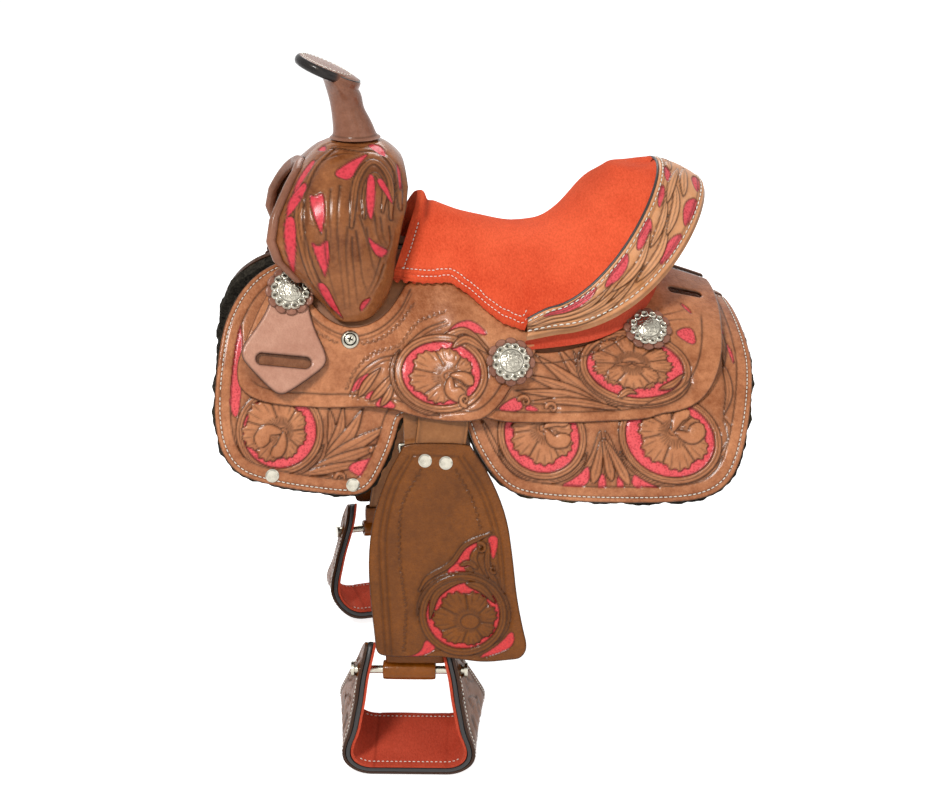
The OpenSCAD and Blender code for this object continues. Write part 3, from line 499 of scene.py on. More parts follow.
def slabPiece(name, outer, inner, finish, fields=None, flip=False, crease=48):
    # A closed slab between two equal grids; outer faces away from inner
    ni, nj = outer.shape[:2]
    count = ni * nj
    loop = np.concatenate([np.arange(ni - 1) * nj, (ni - 1) * nj + np.arange(nj - 1),
                           np.arange(ni - 1, 0, -1) * nj + nj - 1, np.arange(nj - 1, 0, -1)])
    after = np.roll(loop, -1)
    wall = np.stack([loop, loop + count, after + count, after], -1)
    faces = [gridFaces(ni, nj, 0, flip), gridFaces(ni, nj, count, not flip), wall
             if flip else wall[:, ::-1]]
    points = np.concatenate([outer.reshape(-1, 3), inner.reshape(-1, 3)])
    both = {k: np.concatenate([np.ravel(v), np.ravel(v)]) for k, v in (fields or {}).items()}
    return meshPiece(name, points, faces, finish, both, crease)


def tubeFaces(n, m, count=1):
    # Sides and end caps for a number of like tubes of n rings with m points
    shift = np.arange(count)[:, None, None] * n * m
    caps = np.stack([np.arange(m)[::-1], (n - 1) * m + np.arange(m)])
    sides = gridFaces(n, m, 0, True, wrap=True)
    return [(sides + shift).reshape(-1, 4), (caps + shift).reshape(-1, m)]


def ringPiece(name, rings, finish, fields=None):
    # A closed tube of equal rings, with a flat cap at each end
    fields = {k: np.broadcast_to(v, rings.shape[:2]) for k, v in (fields or {}).items()}
    return meshPiece(name, rings.reshape(-1, 3), tubeFaces(*rings.shape[:2]), finish, fields)


def tubeRings(core, radius, one, two, count):
    # Rings round a core line, in the plane of two directions
    turn = around(count)[:, None]
    return core[:, None] + radius * (np.cos(turn) * one[:, None] + np.sin(turn) * two)


def turnedPiece(name, profile, spots, finish, sides=48, wave=None, fields=None, rise=0.0):
    # A profile of radius and height turned about each spot's axis
    # wave scales the radius by angle, rise adds height
    angle = around(sides)
    profile = np.asarray(profile, float)
    scale = np.ones((len(profile), sides)) if wave is None else wave(profile[:, :1], angle[None, :])
    radius = profile[:, :1] * scale
    shape = stack(radius * np.cos(angle), radius * np.sin(angle), profile[:, 1:2] + 0 * angle + rise)
    n, m = shape.shape[:2]
    points = np.concatenate([(shape @ np.array(s[:3])).reshape(-1, 3) + s[3] for s in spots])
    marks = {k: np.tile(np.broadcast_to(v, (n, m)).ravel(), len(spots)) for k, v in (fields or {}).items()}
    return meshPiece(name, points, tubeFaces(n, m, len(spots)), finish, marks)


def mirrored(piece, name):
    # The right side's copy: y turned over, faces turned round
    mesh = piece.data.copy()
    mesh.name = name
    mesh.transform(Matrix.Scale(-1, 4, (0, 1, 0)))
    mesh.flip_normals()
    copy = bpy.data.objects.new(name, mesh)
    scene.collection.objects.link(copy)
    return copy


def dress(piece, body, slotName, *replaced):
    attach(piece, body)
    if replaced:
        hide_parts(*replaced)
    return piece


def dressBoth(piece, stem, body, slotName, *replaced):
    # The left piece is made; its mirrored copy is the right one. Names end in left and right
    other = mirrored(piece, stem + "_right")
    for one, side in ((piece, "left"), (other, "right")):
        sided = body if body == "saddle" else f"{body}_{side}"
        dress(one, sided, slotName, *[f"{r}_{side}" for r in replaced])
    return piece, other


# Outlines and panels
def rounded(points, rounds=3):
    # Cuts each corner at a quarter and three quarters of its sides, over and over
    loop = np.asarray(points, float)
    for _ in range(rounds):
        after = np.roll(loop, -1, 0)
        loop = np.stack([mix(loop, after, 0.25), mix(loop, after, 0.75)], 1).reshape(-1, 2)
    return loop


def evenly(loop, step):
    # The same closed line with points spaced evenly along it
    line = np.vstack([loop, loop[:1]])
    run = runOf(line)
    count = max(4, int(round(run[-1] / step)))
    return sampled(line, run, np.linspace(0, run[-1], count + 1)[:-1])


def sampled(line, run, at):
    # Values along a line, at distances from its start
    return np.stack([np.interp(at, run, line[:, k]) for k in range(line.shape[1])], -1)


def lineField(line, p, q, closed=False):
    # Nearest distance to a line of straight pieces, run along it there, side (+ left) and nearest point
    a = line if closed else line[:-1]
    b = np.roll(line, -1, 0) if closed else line[1:]
    d = b - a
    length = np.linalg.norm(d, axis=1)
    run = np.concatenate([[0], np.cumsum(length)[:-1]])
    far, along, side, near = (np.empty(len(p)), np.empty(len(p)), np.empty(len(p)), np.empty((len(p), 2)))
    for start in range(0, len(p), 8000):
        part = slice(start, start + 8000)
        rel = np.stack([p[part], q[part]], -1)[:, None] - a[None]
        t = np.clip((rel * d).sum(-1) / np.maximum(length ** 2, 1e-9), 0, 1)
        gap = rel - t[..., None] * d
        reach = (gap ** 2).sum(-1)
        best = reach.argmin(1)
        rows = np.arange(len(best))
        far[part] = np.sqrt(reach[rows, best])
        along[part] = run[best] + t[rows, best] * length[best]
        g = gap[rows, best]
        side[part] = np.sign(d[best, 0] * g[:, 1] - d[best, 1] * g[:, 0])
        near[part] = a[best] + t[rows, best, None] * d[best]
    return far, along, side, near


def insideOf(loop, p, q):
    # Odd number of crossings means inside
    a, b = loop, np.roll(loop, -1, 0)
    count = np.zeros(len(p), int)
    for start in range(0, len(p), 8000):
        part = slice(start, start + 8000)
        pp, qq = p[part, None], q[part, None]
        with np.errstate(divide="ignore", invalid="ignore"):
            cross = (a[:, 1] > qq) != (b[:, 1] > qq)
            at = (b[:, 0] - a[:, 0]) * (qq - a[:, 1]) / (b[:, 1] - a[:, 1]) + a[:, 0]
            count[part] = (cross & (pp < at)).sum(1)
    return count % 2 == 1


def shapeField(loop, p, q):
    # Distance in from a closed outline, negative outside, with the nearest point
    far, _, _, near = lineField(loop, p, q, True)
    return np.where(insideOf(loop, p, q), far, -far), near


def newMarks(p, q, d=50.0):
    # One number per point: place, distance in from the edge, and what the tools change
    k = {name: np.zeros(p.size) for name in ("lift", "cut", "ground", "paint", "edge", "raise")}
    for name, values in (("p", p), ("q", q), ("d", d)):
        k[name] = np.broadcast_to(values, p.shape).ravel().astype(float)
    return k


def panelPiece(name, outline, place, top, thick, finish, step, tooling=None, holes=(), thinUnder=False):
    # A square grid cut to the outline: its rim points move onto the outline, heights come from the tooling
    step = step * coarse
    depth = thick if callable(thick) else flat(thick)
    low, high = outline.min(0), outline.max(0)
    px = np.arange(low[0] - step, high[0] + 2 * step, step)
    qx = np.arange(low[1] - step, high[1] + 2 * step, step)
    ni, nj = len(px), len(qx)
    p, q = [g.ravel().copy() for g in crossed(px, qx)]
    inside, near = shapeField(outline, p, q)
    for hole in holes:
        away, holeNear = shapeField(hole, p, q)
        closer = -away < inside
        near[closer] = holeNear[closer]
        inside = np.minimum(inside, -away)
    cell = inside.reshape(ni, nj)
    middle = (cell[:-1, :-1] + cell[1:, :-1] + cell[:-1, 1:] + cell[1:, 1:]) / 4
    keep = middle > 0.05 * step
    quads = gridFaces(ni, nj).reshape(ni - 1, nj - 1, 4)[keep]
    full = np.zeros((ni, nj), int)
    for di in (0, 1):
        for dj in (0, 1):
            full[di:di + ni - 1, dj:dj + nj - 1] += keep
    rim = (full.ravel() > 0) & (full.ravel() < 4)
    p[rim], q[rim] = near[rim, 0], near[rim, 1]
    inside[rim] = 0
    kept = np.flatnonzero(full.ravel() > 0)
    index = np.full(ni * nj, -1)
    index[kept] = np.arange(len(kept))
    quads = index[quads]
    p, q, inside = p[kept], q[kept], np.maximum(inside[kept], 0)
    marks = newMarks(p, q, inside)
    if tooling:
        tooling(marks)
    roundOff = 1.1 * fade(inside, 1.8) ** 2
    edgeTone = np.maximum(marks["edge"], 0.9 * fade(inside, 1.3))
    outer = place(p, q, top(p, q) + marks["lift"] - roundOff)
    directed = np.stack([quads, np.roll(quads, -1, 1)], -1).reshape(-1, 2)
    ends = np.sort(directed, 1)
    code = ends[:, 0] * np.int64(len(p)) + ends[:, 1]
    _, first, uses = np.unique(code, return_index=True, return_counts=True)
    border = directed[first[uses == 1]]
    if thinUnder:
        rimPoints = np.unique(border)
        tenth = (np.round(p / step) % 10 == 0) & (np.round(q / step) % 10 == 0)
        chosen = np.concatenate([rimPoints, np.flatnonzero((inside > 8) & tenth)])
        pu, qu = p[chosen], q[chosen]
        newIndex = np.full(len(p), -1)
        newIndex[chosen] = np.arange(len(chosen))
        spots = [Vector(pair) for pair in zip(pu.tolist(), qu.tolist())]
        found = delaunay_2d_cdt(spots, newIndex[border].tolist(), [], 1, 1e-5)
        source = np.array([o[0] for o in found[3]], int)
        tris = source[np.array(found[2], int)]
        pa, pb, pc = pu[tris].T
        qa, qb, qc = qu[tris].T
        turned = (pb - pa) * (qc - qa) > (pc - pa) * (qb - qa)
        tris[turned] = tris[turned][:, ::-1]
        under = place(pu, qu, top(pu, qu) - depth(pu, qu))
        lower = newIndex[border] + len(p)
        faces = [quads, tris + len(p)]
        also = chosen
    else:
        under = place(p, q, top(p, q) - depth(p, q))
        lower = border + len(p)
        faces = [quads, quads[:, ::-1] + len(p)]
        also = np.arange(len(p))
    faces.append(np.stack([border[:, 1], border[:, 0], lower[:, 0], lower[:, 1]], -1))
    points = np.concatenate([outer, under])
    lowEdge = np.where(inside[also] < 2, 0.9, 0.25)
    fields = {k: np.concatenate([marks[k], np.zeros(len(also))]) for k in ("cut", "paint", "raise")}
    fields["edge"] = np.concatenate([edgeTone, lowEdge])
    corner = outer[quads[:1]][0]
    one, two = p[quads[0]], q[quads[0]]
    centre = place(one, two, top(one, two) - depth(one, two)).mean(0)
    outward = np.cross(corner[1] - corner[0], corner[2] - corner[0]) @ (corner.mean(0) - centre)
    if outward < 0:
        faces = [f[:, ::-1] for f in faces]
    return meshPiece(name, points, faces, finish, fields, 50)


def stitchPiece(name, lines, length=3.3, pitch=4.6, radius=0.55):
    # Each stitch is a short six-sided spindle along its line; lines are lists of points with normals
    share = np.array([-1.0, -0.72, 0.0, 0.72, 1.0])
    fat = np.array([0.25, 0.8, 1.0, 0.8, 0.25])
    turn = around(6)
    points = []
    for line, normal in lines:
        run = runOf(line)
        at = np.arange(pitch / 2, run[-1] - length / 2, pitch)
        spot, ahead, behind = [sampled(line, run, at + ds) for ds in (0, 0.8, -0.8)]
        n = unit(sampled(normal, run, at))
        t = unit(ahead - behind)
        b = np.cross(n, t)
        sag = 0.25 * radius * (1 - share ** 2) - 0.3 * radius * share ** 2 + 0.15
        centre = spot[:, None] + t[:, None] * (share * length / 2)[:, None] + n[:, None] * sag[:, None]
        ring = np.cos(turn)[:, None] * b[:, None, None] + np.sin(turn)[:, None] * n[:, None, None]
        points.append(centre[:, :, None] + radius * ring * fat[:, None, None])
    points = np.concatenate(points)
    faces = tubeFaces(*points.shape[1:3], len(points))
    return meshPiece(name, points.reshape(-1, 3), faces, finishes["thread"], None, 80)


def insetLine(outline, inset, place, top):
    # The outline moved in by an amount, as points on the panel with their normals
    loop = evenly(outline, 2.0)
    tangent = unit(np.roll(loop, -1, 0) - np.roll(loop, 1, 0))
    turnWay = np.sign(((loop - loop.mean(0)) * np.stack([tangent[:, 1], -tangent[:, 0]], -1)).sum())
    normalIn = -turnWay * np.stack([tangent[:, 1], -tangent[:, 0]], -1)
    for _ in range(4):
        normalIn = unit(normalIn + 0.5 * np.roll(normalIn, 1, 0) + 0.5 * np.roll(normalIn, -1, 0))
    p, q = (loop + inset * normalIn).T
    spot = place(p, q, top(p, q))
    return spot, place(p, q, top(p, q) + 1.0) - spot


# Tooling: each tool works on a panel's marks, which hold one number per point for height, cut line with
# painted shade, open ground and raised top with its painted highlight. p and q are the panel's own
# coordinates in millimetres
def curve(points, count=36):
    # A smooth line through the given points
    c = np.asarray(points, float)
    if len(c) == 2:
        return mix(c[0], c[1], np.linspace(0, 1, count)[:, None])
    ends = np.vstack([2 * c[0] - c[1], c, 2 * c[-1] - c[-2]])
    t = np.linspace(0, len(c) - 1 - 1e-9, count)
    i = t.astype(int)
    f = (t - i)[:, None]
    a, b, d, e = ends[i], ends[i + 1], ends[i + 2], ends[i + 3]
    return 0.5 * (2 * b + (d - a) * f + (2 * a - 5 * b + 4 * d - e) * f ** 2
                  + (3 * b - a - 3 * d + e) * f ** 3)


def arcLine(centre, radius, start, stop, count=60):
    # Part of a circle or ellipse, angles in degrees from +p towards +q
    a = np.radians(np.linspace(start, stop, count))
    rx, ry = np.broadcast_to(radius, 2)
    return np.stack([centre[0] + rx * np.cos(a), centre[1] + ry * np.sin(a)], -1)


whole = slice(None)   # every point of a panel


def near(k, points, margin):
    # The points of a panel round some others, with a margin
    points = np.asarray(points, float)
    low, high = points.min(0) - margin, points.max(0) + margin
    return np.flatnonzero((k["p"] > low[0]) & (k["p"] < high[0]) & (k["q"] > low[1]) & (k["q"] < high[1]))


def raised(k, at, m, crown, soft=3.0, width=0.95):
    # A shape standing up from the ground: m is the distance in from its edge
    # Outside it the leather is bevelled, and the bevel is darkened with painted shade
    inside = smooth((m + 0.35) / 0.7)
    slope = np.exp(-np.maximum(-m, 0) / 2.2) * (1 - inside)
    bevel = 0.9 * slope
    swell = crown * (1 - np.exp(-np.maximum(m, 0) / soft))
    k["lift"][at] = mix(k["lift"][at] - bevel, swell, inside)
    shade = np.maximum(bell(m, width), 0.42 * slope * (1 - k["ground"][at]))
    k["cut"][at] = np.maximum(k["cut"][at] * (1 - inside), shade)
    k["ground"][at] *= 1 - inside
    k["raise"][at] = mix(k["raise"][at], smooth(m / 2.5), inside)


def groove(k, at, d, depth=0.4, width=0.75, line=0.9, share=1.0):
    # A knife line where d is nothing
    mark = bell(d, 1.25 * width) * share
    k["lift"][at] -= depth * mark
    k["cut"][at] = np.maximum(k["cut"][at], line * mark)


def beside(k, line, margin):
    # Points near a line, with their distance from it and their share of its length
    at = near(k, line, margin)
    d, run, side, _ = lineField(line, k["p"][at], k["q"][at])
    return at, d, run / np.linalg.norm(np.diff(line, axis=0), axis=1).sum(), run, side


def blade(k, path, width, form="leaf", vein=0.8, crown=0.5):
    # A leaf or stem round a line: half its width comes from the run along the line
    line = curve(path) if len(path) < 12 else np.asarray(path, float)
    at, d, t = beside(k, line, width + 4)[:3]
    if form == "leaf":
        half = width * np.sin(np.pi * np.clip(t, 0, 1) ** 0.8) ** 0.85
    elif form == "tail":   # wide at its start, running out to a point
        half = width * (1 - t) ** 0.7 * smooth(t / 0.12 + 0.35)
    elif form == "drop":   # narrow start, round end
        half = width * np.sqrt(np.clip(t, 0, 1)) * np.sqrt(np.clip((1.0 - t) / 0.25, 0, 1))
    else:
        half = width * (0.55 + 0.45 * smooth(np.minimum(t, 1 - t) / 0.2))
    m = half - d
    raised(k, at, m, crown)
    if vein:
        reach = smooth((t - 0.04) / 0.1) * smooth((0.9 - t) / 0.15) * (m > -0.2)
        groove(k, at, d, 0.35, 0.6, 0.75 * vein, reach)


def bow(k, path, width=0.8, depth=0.35, dark=0.85, taper=True):
    # A free cut along a line, dying away towards its end
    at, d, t = beside(k, curve(path), 4)[:3]
    groove(k, at, d, depth, width, dark, (1 - 0.7 * t) if taper else 1.0)


def curl(k, centre, radius, start, turns=1.1, width=2.2):
    # A scroll: a stem winding in to its eye
    a = np.radians(start) + np.linspace(0, 2 * np.pi * turns, 40)
    r = radius * np.exp(-np.linspace(0, 1.5, 40))
    line = np.stack([centre[0] + r * np.cos(a), centre[1] + r * np.sin(a)], -1)
    at, d, t = beside(k, line, 5)[:3]
    raised(k, at, width * (1 - 0.55 * t) - d, 0.45, 2.0, 0.65)


def patch(k, points):
    # A painted corner of ground with a smooth outline
    points = np.asarray(points, float)
    points = points.mean(0) + 1.25 * (points - points.mean(0))
    loop = evenly(rounded(points, 2), 1.5)
    at = near(k, loop, 4)
    m = shapeField(loop, k["p"][at], k["q"][at])[0]
    inside = smooth((m + 0.3) / 0.6)
    k["lift"][at] = mix(k["lift"][at] - 0.15 * np.exp(-np.maximum(-m, 0) / 2), -0.75, inside)
    k["cut"][at] = np.maximum(k["cut"][at] * (1 - inside), 0.9 * bell(m, 0.75))
    k["ground"][at] = np.maximum(k["ground"][at], inside)
    k["raise"][at] *= 1 - inside


def ringStem(k, centre, radius, width, start=0, stop=360):
    # A stem bent round a flower, with a second line along its middle
    line = arcLine(centre, radius, start, stop, 90)
    at, d, t = beside(k, line, width + 4)[:3]
    closed = abs(stop - start) >= 359
    half = width / 2 * (1 if closed else (0.35 + 0.65 * smooth(np.minimum(t, 1 - t) / 0.12)))
    raised(k, at, half - d, 0.45, 2.0)
    groove(k, at, d, 0.3, 0.6, 0.8)


def groundDisc(k, centre, radius):
    # Background beaten down inside an oval, painted later
    rx, ry = np.broadcast_to(radius, 2)
    e = np.hypot((k["p"] - centre[0]) / rx, (k["q"] - centre[1]) / ry)
    area = smooth((1 - e) * min(rx, ry) / 0.8 + 0.5)
    k["ground"] = np.maximum(k["ground"], area)
    k["lift"] -= 0.7 * area


def blossom(k, centre, radius, petals, turn, eye=(0.0, 0.0), fold=None, eyeSize=0.2, eyeFlat=0.8):
    # Ruffled petals round an eye that may sit off centre. A petal's edge is a circle scalloped by angle
    # about the eye; fan veins run to the ruffles; fold is the angle of a plain petal turned over in front
    rx, ry = np.broadcast_to(radius, 2)
    at = near(k, [centre], max(rx, ry) + 5)
    u = (k["p"][at] - centre[0]) / rx
    v = (k["q"][at] - centre[1]) / ry
    du, dv = u - eye[0], v - eye[1]
    r = np.hypot(du, dv) + 1e-6
    a = np.arctan2(dv, du)
    along = (eye[0] * du + eye[1] * dv) / r
    edge = -along + np.sqrt(np.maximum(1 - eye[0] ** 2 - eye[1] ** 2 + along ** 2, 0.01))
    size = math.sqrt(rx * ry)
    phase = petals * (a - math.radians(turn)) / 2
    scallop = 0.84 + 0.16 * np.abs(np.cos(phase)) ** 0.55 + 0.03 * np.cos(8 * phase)
    share = r / edge
    m = (scallop - share) * edge * size
    raised(k, at, m, 0.75, 4.0, 0.85)
    inPetal = m > 0.2
    gapLine = np.abs(np.cos(phase)) * r * size / (petals / 2)
    groove(k, at, gapLine, 0.55, 0.8, 0.95, inPetal * smooth((share - 0.3) / 0.15))
    fanPhase = np.abs(np.sin(phase * 4)) * r * size / (petals * 2)
    start = smooth((share - (0.5 + 0.16 * np.cos(phase * 2) ** 2)) / 0.2)
    stop = smooth((scallop + 0.02 - share) / 0.08)
    groove(k, at, fanPhase, 0.35, 0.6, 0.6, inPetal * start * stop)
    cup = bell(share - 0.62, 0.2) * inPetal
    k["lift"][at] -= 0.35 * cup
    stamen = np.abs(np.sin(phase * 5)) * r * size / (petals * 2.5)
    groove(k, at, stamen, 0.3, 0.55, 0.7, inPetal * smooth((0.5 - share) / 0.08)
           * smooth((share - eyeSize) / 0.05))
    eyeFar = np.hypot(du, dv / eyeFlat)
    raised(k, at, (eyeSize - eyeFar) * size, 0.5, 2.5, 0.8)
    if fold is not None:
        f = math.radians(fold)
        way = np.array([math.cos(f) * rx, math.sin(f) * ry])
        base = np.array(centre) + np.array([eye[0] * rx, eye[1] * ry])
        side = np.array([-way[1], way[0]]) * 0.3
        blade(k, [base, base + 0.4 * way + side, base + 0.86 * way], 0.3 * size, "drop", 0, 0.9)
        blade(k, [base - 0.05 * way, base + 0.3 * way - 1.2 * side, base + 0.68 * way - 1.5 * side],
              0.24 * size, "drop", 0, 0.8)


def finishMarks(k):
    # Ground becomes paint; cut lines stay over it
    k["paint"] = smooth((k["ground"] - 0.45) / 0.3)
    k["lift"] = np.clip(1.35 * k["lift"], -1.8, 1.6)
    lowShadeAndDye = 0.3 * smooth(-k["lift"] / 0.9) * (1 - k["paint"])   # darkening of the low places: antique dye settled there, and painted shade
    k["cut"] = np.maximum(k["cut"], lowShadeAndDye)


# Finishes
grainGroup = makeGrain()
napGroup = makeNap()
leathers = {   # name, light and dark, grain size, gloss, paint, edge, depth of the grain
    "brown_leather": ("tooledBrown", "#d28c60", "#8a4925", 1.0, 0.32),
    "fender": ("fenderBrown", "#84480f", "#603105", 1.1, 0.34, "#dc3f40", "#2a1710", 0.8),
    "fork": ("forkBrown", "#ae6d40", "#6c3818", 0.6, 0.27, "#e04250"),
    "binding": ("bindingTan", "#f2b183", "#d68f58", 1.0, 0.36, "#ea5a64"),
    "keeper": ("keeperBrown", "#c9967f", "#ae7862"),
    "horn": ("hornBrown", "#9c6a54", "#7a4e3a", 0.7, 0.36),
    "hornCap": ("hornCapBrown", "#9c6a54", "#7a4e3a", 0.7, 0.36, "#e4505c", "#1d1c1e"),
    "stirrup": ("stirrupBrown", "#84491c", "#5f340f", 1.0, 0.5),
    "strap": ("strapTan", "#a86f42", "#85522c", 0.8),
    "hobble": ("hobbleHoney", "#8e4c0e", "#703a06", 0.7, 0.34),
    "rosette": ("rosetteBrown", "#a2705c", "#75493a", 0.7),
}
finishes = {
    "red_suede": suede("seatSuede", "#ff6c44", "#d9492a"),
    "lining": suede("liningSuede", "#dc5a40", "#b8402a"),
    "fleece": fleeceFinish("darkFleece"),
    "nickel": silverFinish("agedNickel"),
    "wood": plainFinish("treeWood", "#9c6238", 0.5, 0, True),
    "iron": plainFinish("hornIron", "#4b4a48", 0.5, 0.9),
    "thread": plainFinish("whiteThread", "#efe9dc", 0.8),
    "blackEdge": plainFinish("blackEdge", "#262322", 0.42, 0, False),
    "floor": floorFinish("paleFloor"),
}
finishes.update({key: tooledLeather(*values) for key, values in leathers.items()})
makeCamera(viewSet)
makeLight()
floorLevel = float(cadLow.z) - 0.002
bpy.ops.mesh.primitive_plane_add(size=40, location=(0, 0, floorLevel))
floor = bpy.context.object
floor.name = "floor"
floor.data.materials.append(finishes["floor"])
print("camera, light and finishes ready")


def rowOutline(rows):
    # Upper edge front to rear, then lower edge back again
    rows = np.asarray(rows, float)
    return evenly(rounded(np.vstack([rows[:, [0, 1]], rows[::-1][:, [0, 2]]])), 2.0)


# Skirts
skirtSet = {
    "rows": [
        (-264, 168, 188), (-261, 138, 208), (-254, 98, 224), (-244, 74, 235), (-232, 55, 242),
        (-214, 38, 248), (-190, 27, 254), (-148, 24, 261), (-131, 24, 261), (-121, 24, 257),
        (-113, 24, 249), (-101, 24, 227), (-93, 24, 208), (-88, 24, 191), (-84, 24, 186), (-47, 24, 186),
        (-27, 24, 186), (-23, 24, 195), (-17, 24, 214), (-5, 24, 236), (10, 24, 254), (29, 24, 262),
        (62, 24, 265), (110, 24, 265), (166, 16, 262), (199, 6, 256), (221, 4, 241), (234, 4, 217),
        (245, 4, 182), (256, 4, 138), (262, 4, 100),
    ],
    "border": 15.0, "stitchInset": 5.0, "grid": 1.25,
    "frontRing": (-203, 197), "frontRingSize": 38.5,
    "midRing": (48, 203), "midRingSize": 39.0,
    "rearRing": (169, 200), "rearRingSize": (45, 41),
    "frontLeaves": [   # base, middle, tip and half width
        ([(-157, 214), (-153, 196), (-155, 176)], 4.0), ([(-160, 223), (-146, 200), (-141, 174)], 5.0),
        ([(-162, 227), (-138, 204), (-122, 178)], 6.5), ([(-166, 230), (-130, 212), (-96, 194)], 6.5),
        ([(-176, 235), (-138, 224), (-98, 211)], 5.5), ([(-186, 240), (-150, 234), (-110, 227)], 4.5),
        ([(-190, 246), (-160, 245), (-126, 249)], 3.2),
    ],
    "rearLeaves": [
        ([(-18, 188), (-10, 206), (2, 226)], 4.0), ([(-8, 190), (-1, 208), (12, 230)], 3.2),
        ([(104, 196), (97, 220), (80, 244)], 3.4), ([(108, 196), (118, 222), (140, 244)], 3.4),
        ([(222, 178), (226, 200), (205, 232)], 3.6), ([(231, 120), (231, 150), (222, 176)], 3.6),
        ([(233, 62), (235, 92), (231, 122)], 3.2),
    ],
    "bud": [([(105, 204), (100, 226), (94, 247)], 6.0), ([(106, 204), (109, 224), (112, 244)], 5.5),
            ([(107, 204), (118, 226), (128, 247)], 6.0)],
    "red": [
        [(-140, 232), (-106, 225), (-113, 236), (-125, 244)], [(-106, 208), (-91, 200), (-93, 214)],
        [(-237, 86), (-244, 120), (-249, 166), (-242, 176), (-238, 150), (-236, 120)],
        [(64, 250), (80, 242), (90, 230), (89, 250)], [(98, 250), (104, 235), (107, 250)],
        [(116, 250), (119, 236), (124, 250)], [(132, 250), (134, 236), (143, 243), (157, 249)],
        [(229, 44), (236, 60), (239, 80), (234, 70)], [(238, 90), (243, 104), (241, 120)],
    ],
}


def toolSkirt(k):
    s = skirtSet
    for leaf, width in s["frontLeaves"] + s["rearLeaves"]:
        blade(k, leaf, width, "leaf", 0.8)
    for points in s["red"]:
        patch(k, points)
    for leaf, width in s["bud"]:
        blade(k, leaf, width, "drop", 0.9, 0.8)
    curl(k, (-110, 221), 7, 200)
    curl(k, (-146, 244), 6, 180)
    for ring in ("frontRing", "midRing", "rearRing"):
        centre = s[ring]
        rx, ry = np.broadcast_to(s[ring + "Size"], 2)
        groundDisc(k, centre, (rx - 1, ry - 1))
        ringStem(k, centre, (rx + 5.5, ry + 5.5), 4.0, 20, 160)
        ringStem(k, centre, (rx, ry), 6.5)
    blossom(k, (-208, 195), (31, 31), 7, 20, (0.25, 0.1), 150, 0.16)
    blossom(k, (48, 203), (30, 28), 7, -10, (0.1, -0.25), 20, 0.18)
    blossom(k, (172, 200), (33, 31), 7, 35, (0.05, -0.2), -20, 0.18)
    groove(k, whole, k["d"] - s["border"], 0.45, 0.8, 0.9)
    groove(k, whole, k["d"] - s["stitchInset"], 0.5, 1.0, 0.55)
    outside = k["d"] < s["border"] - 0.6
    for name in ("ground", "raise"):
        k[name][outside] = 0
    fade = bell(k["d"] - s["border"], 0.8) + bell(k["d"] - s["stitchInset"], 1.0)
    k["lift"][outside] = (-0.45 * fade)[outside]
    k["cut"][outside] = (0.8 * fade)[outside]
    finishMarks(k)


def makeSkirts():
    outline = rowOutline(skirtSet["rows"])
    piece = panelPiece("skirt_left", outline, onBack, flat(layer["skirt"]), layer["skirt"],
                       finishes["brown_leather"], skirtSet["grid"], toolSkirt, (), True)
    dressBoth(piece, "skirt", "saddle", "brown_leather", "skirt")
    line = insetLine(outline, skirtSet["stitchInset"], onBack, flat(layer["skirt"] - 0.3))
    thread = stitchPiece("skirtStitch_left", [line])
    dressBoth(thread, "skirtStitch", "saddle", "brown_leather")


# Fleece: its edge runs out past the skirt in uneven tufts
fleeceSet = {"proud": 2.2, "tuft": 1.6, "grid": 3.0}


def woolly(p, q, size):
    # Uneven waves from sines at unlike lengths
    p, q = p / size, q / size
    a = np.sin(p * 1.7 + 1.3 * np.sin(q * 0.9)) + np.sin(q * 2.1 + 1.1 * np.sin(p * 1.3))
    return (a + np.sin((p + q) * 3.3) * 0.7 + np.sin((p - 1.4 * q) * 5.1) * 0.5) / 2.4


def makeFleece():
    outline = rowOutline(skirtSet["rows"])
    tangent = unit(np.roll(outline, -3, 0) - np.roll(outline, 3, 0))
    middle = outline.mean(0)
    outward = np.stack([tangent[:, 1], -tangent[:, 0]], -1)
    outward *= np.sign(((outline - middle) * outward).sum())
    run = np.arange(len(outline)) * 2.0
    ragged = fleeceSet["proud"] + fleeceSet["tuft"] * woolly(run, run * 0.7, 9.0)
    keep = outline[:, 1] > 60
    loop = evenly(outline + outward * (ragged * keep)[:, None], 2.0)

    def deep(p, q):
        return 10.4 + 1.3 * woolly(p, q, 7.0)

    def placeWool(p, q, h):
        return onBack(p, q, np.where(h < -2, h - 0.9 * woolly(p, q, 3.1), h))
    piece = panelPiece("fleece_left", loop, placeWool, flat(-0.5), deep, finishes["fleece"],
                       fleeceSet["grid"])
    dressBoth(piece, "fleece", "saddle", "fleece", "fleece")


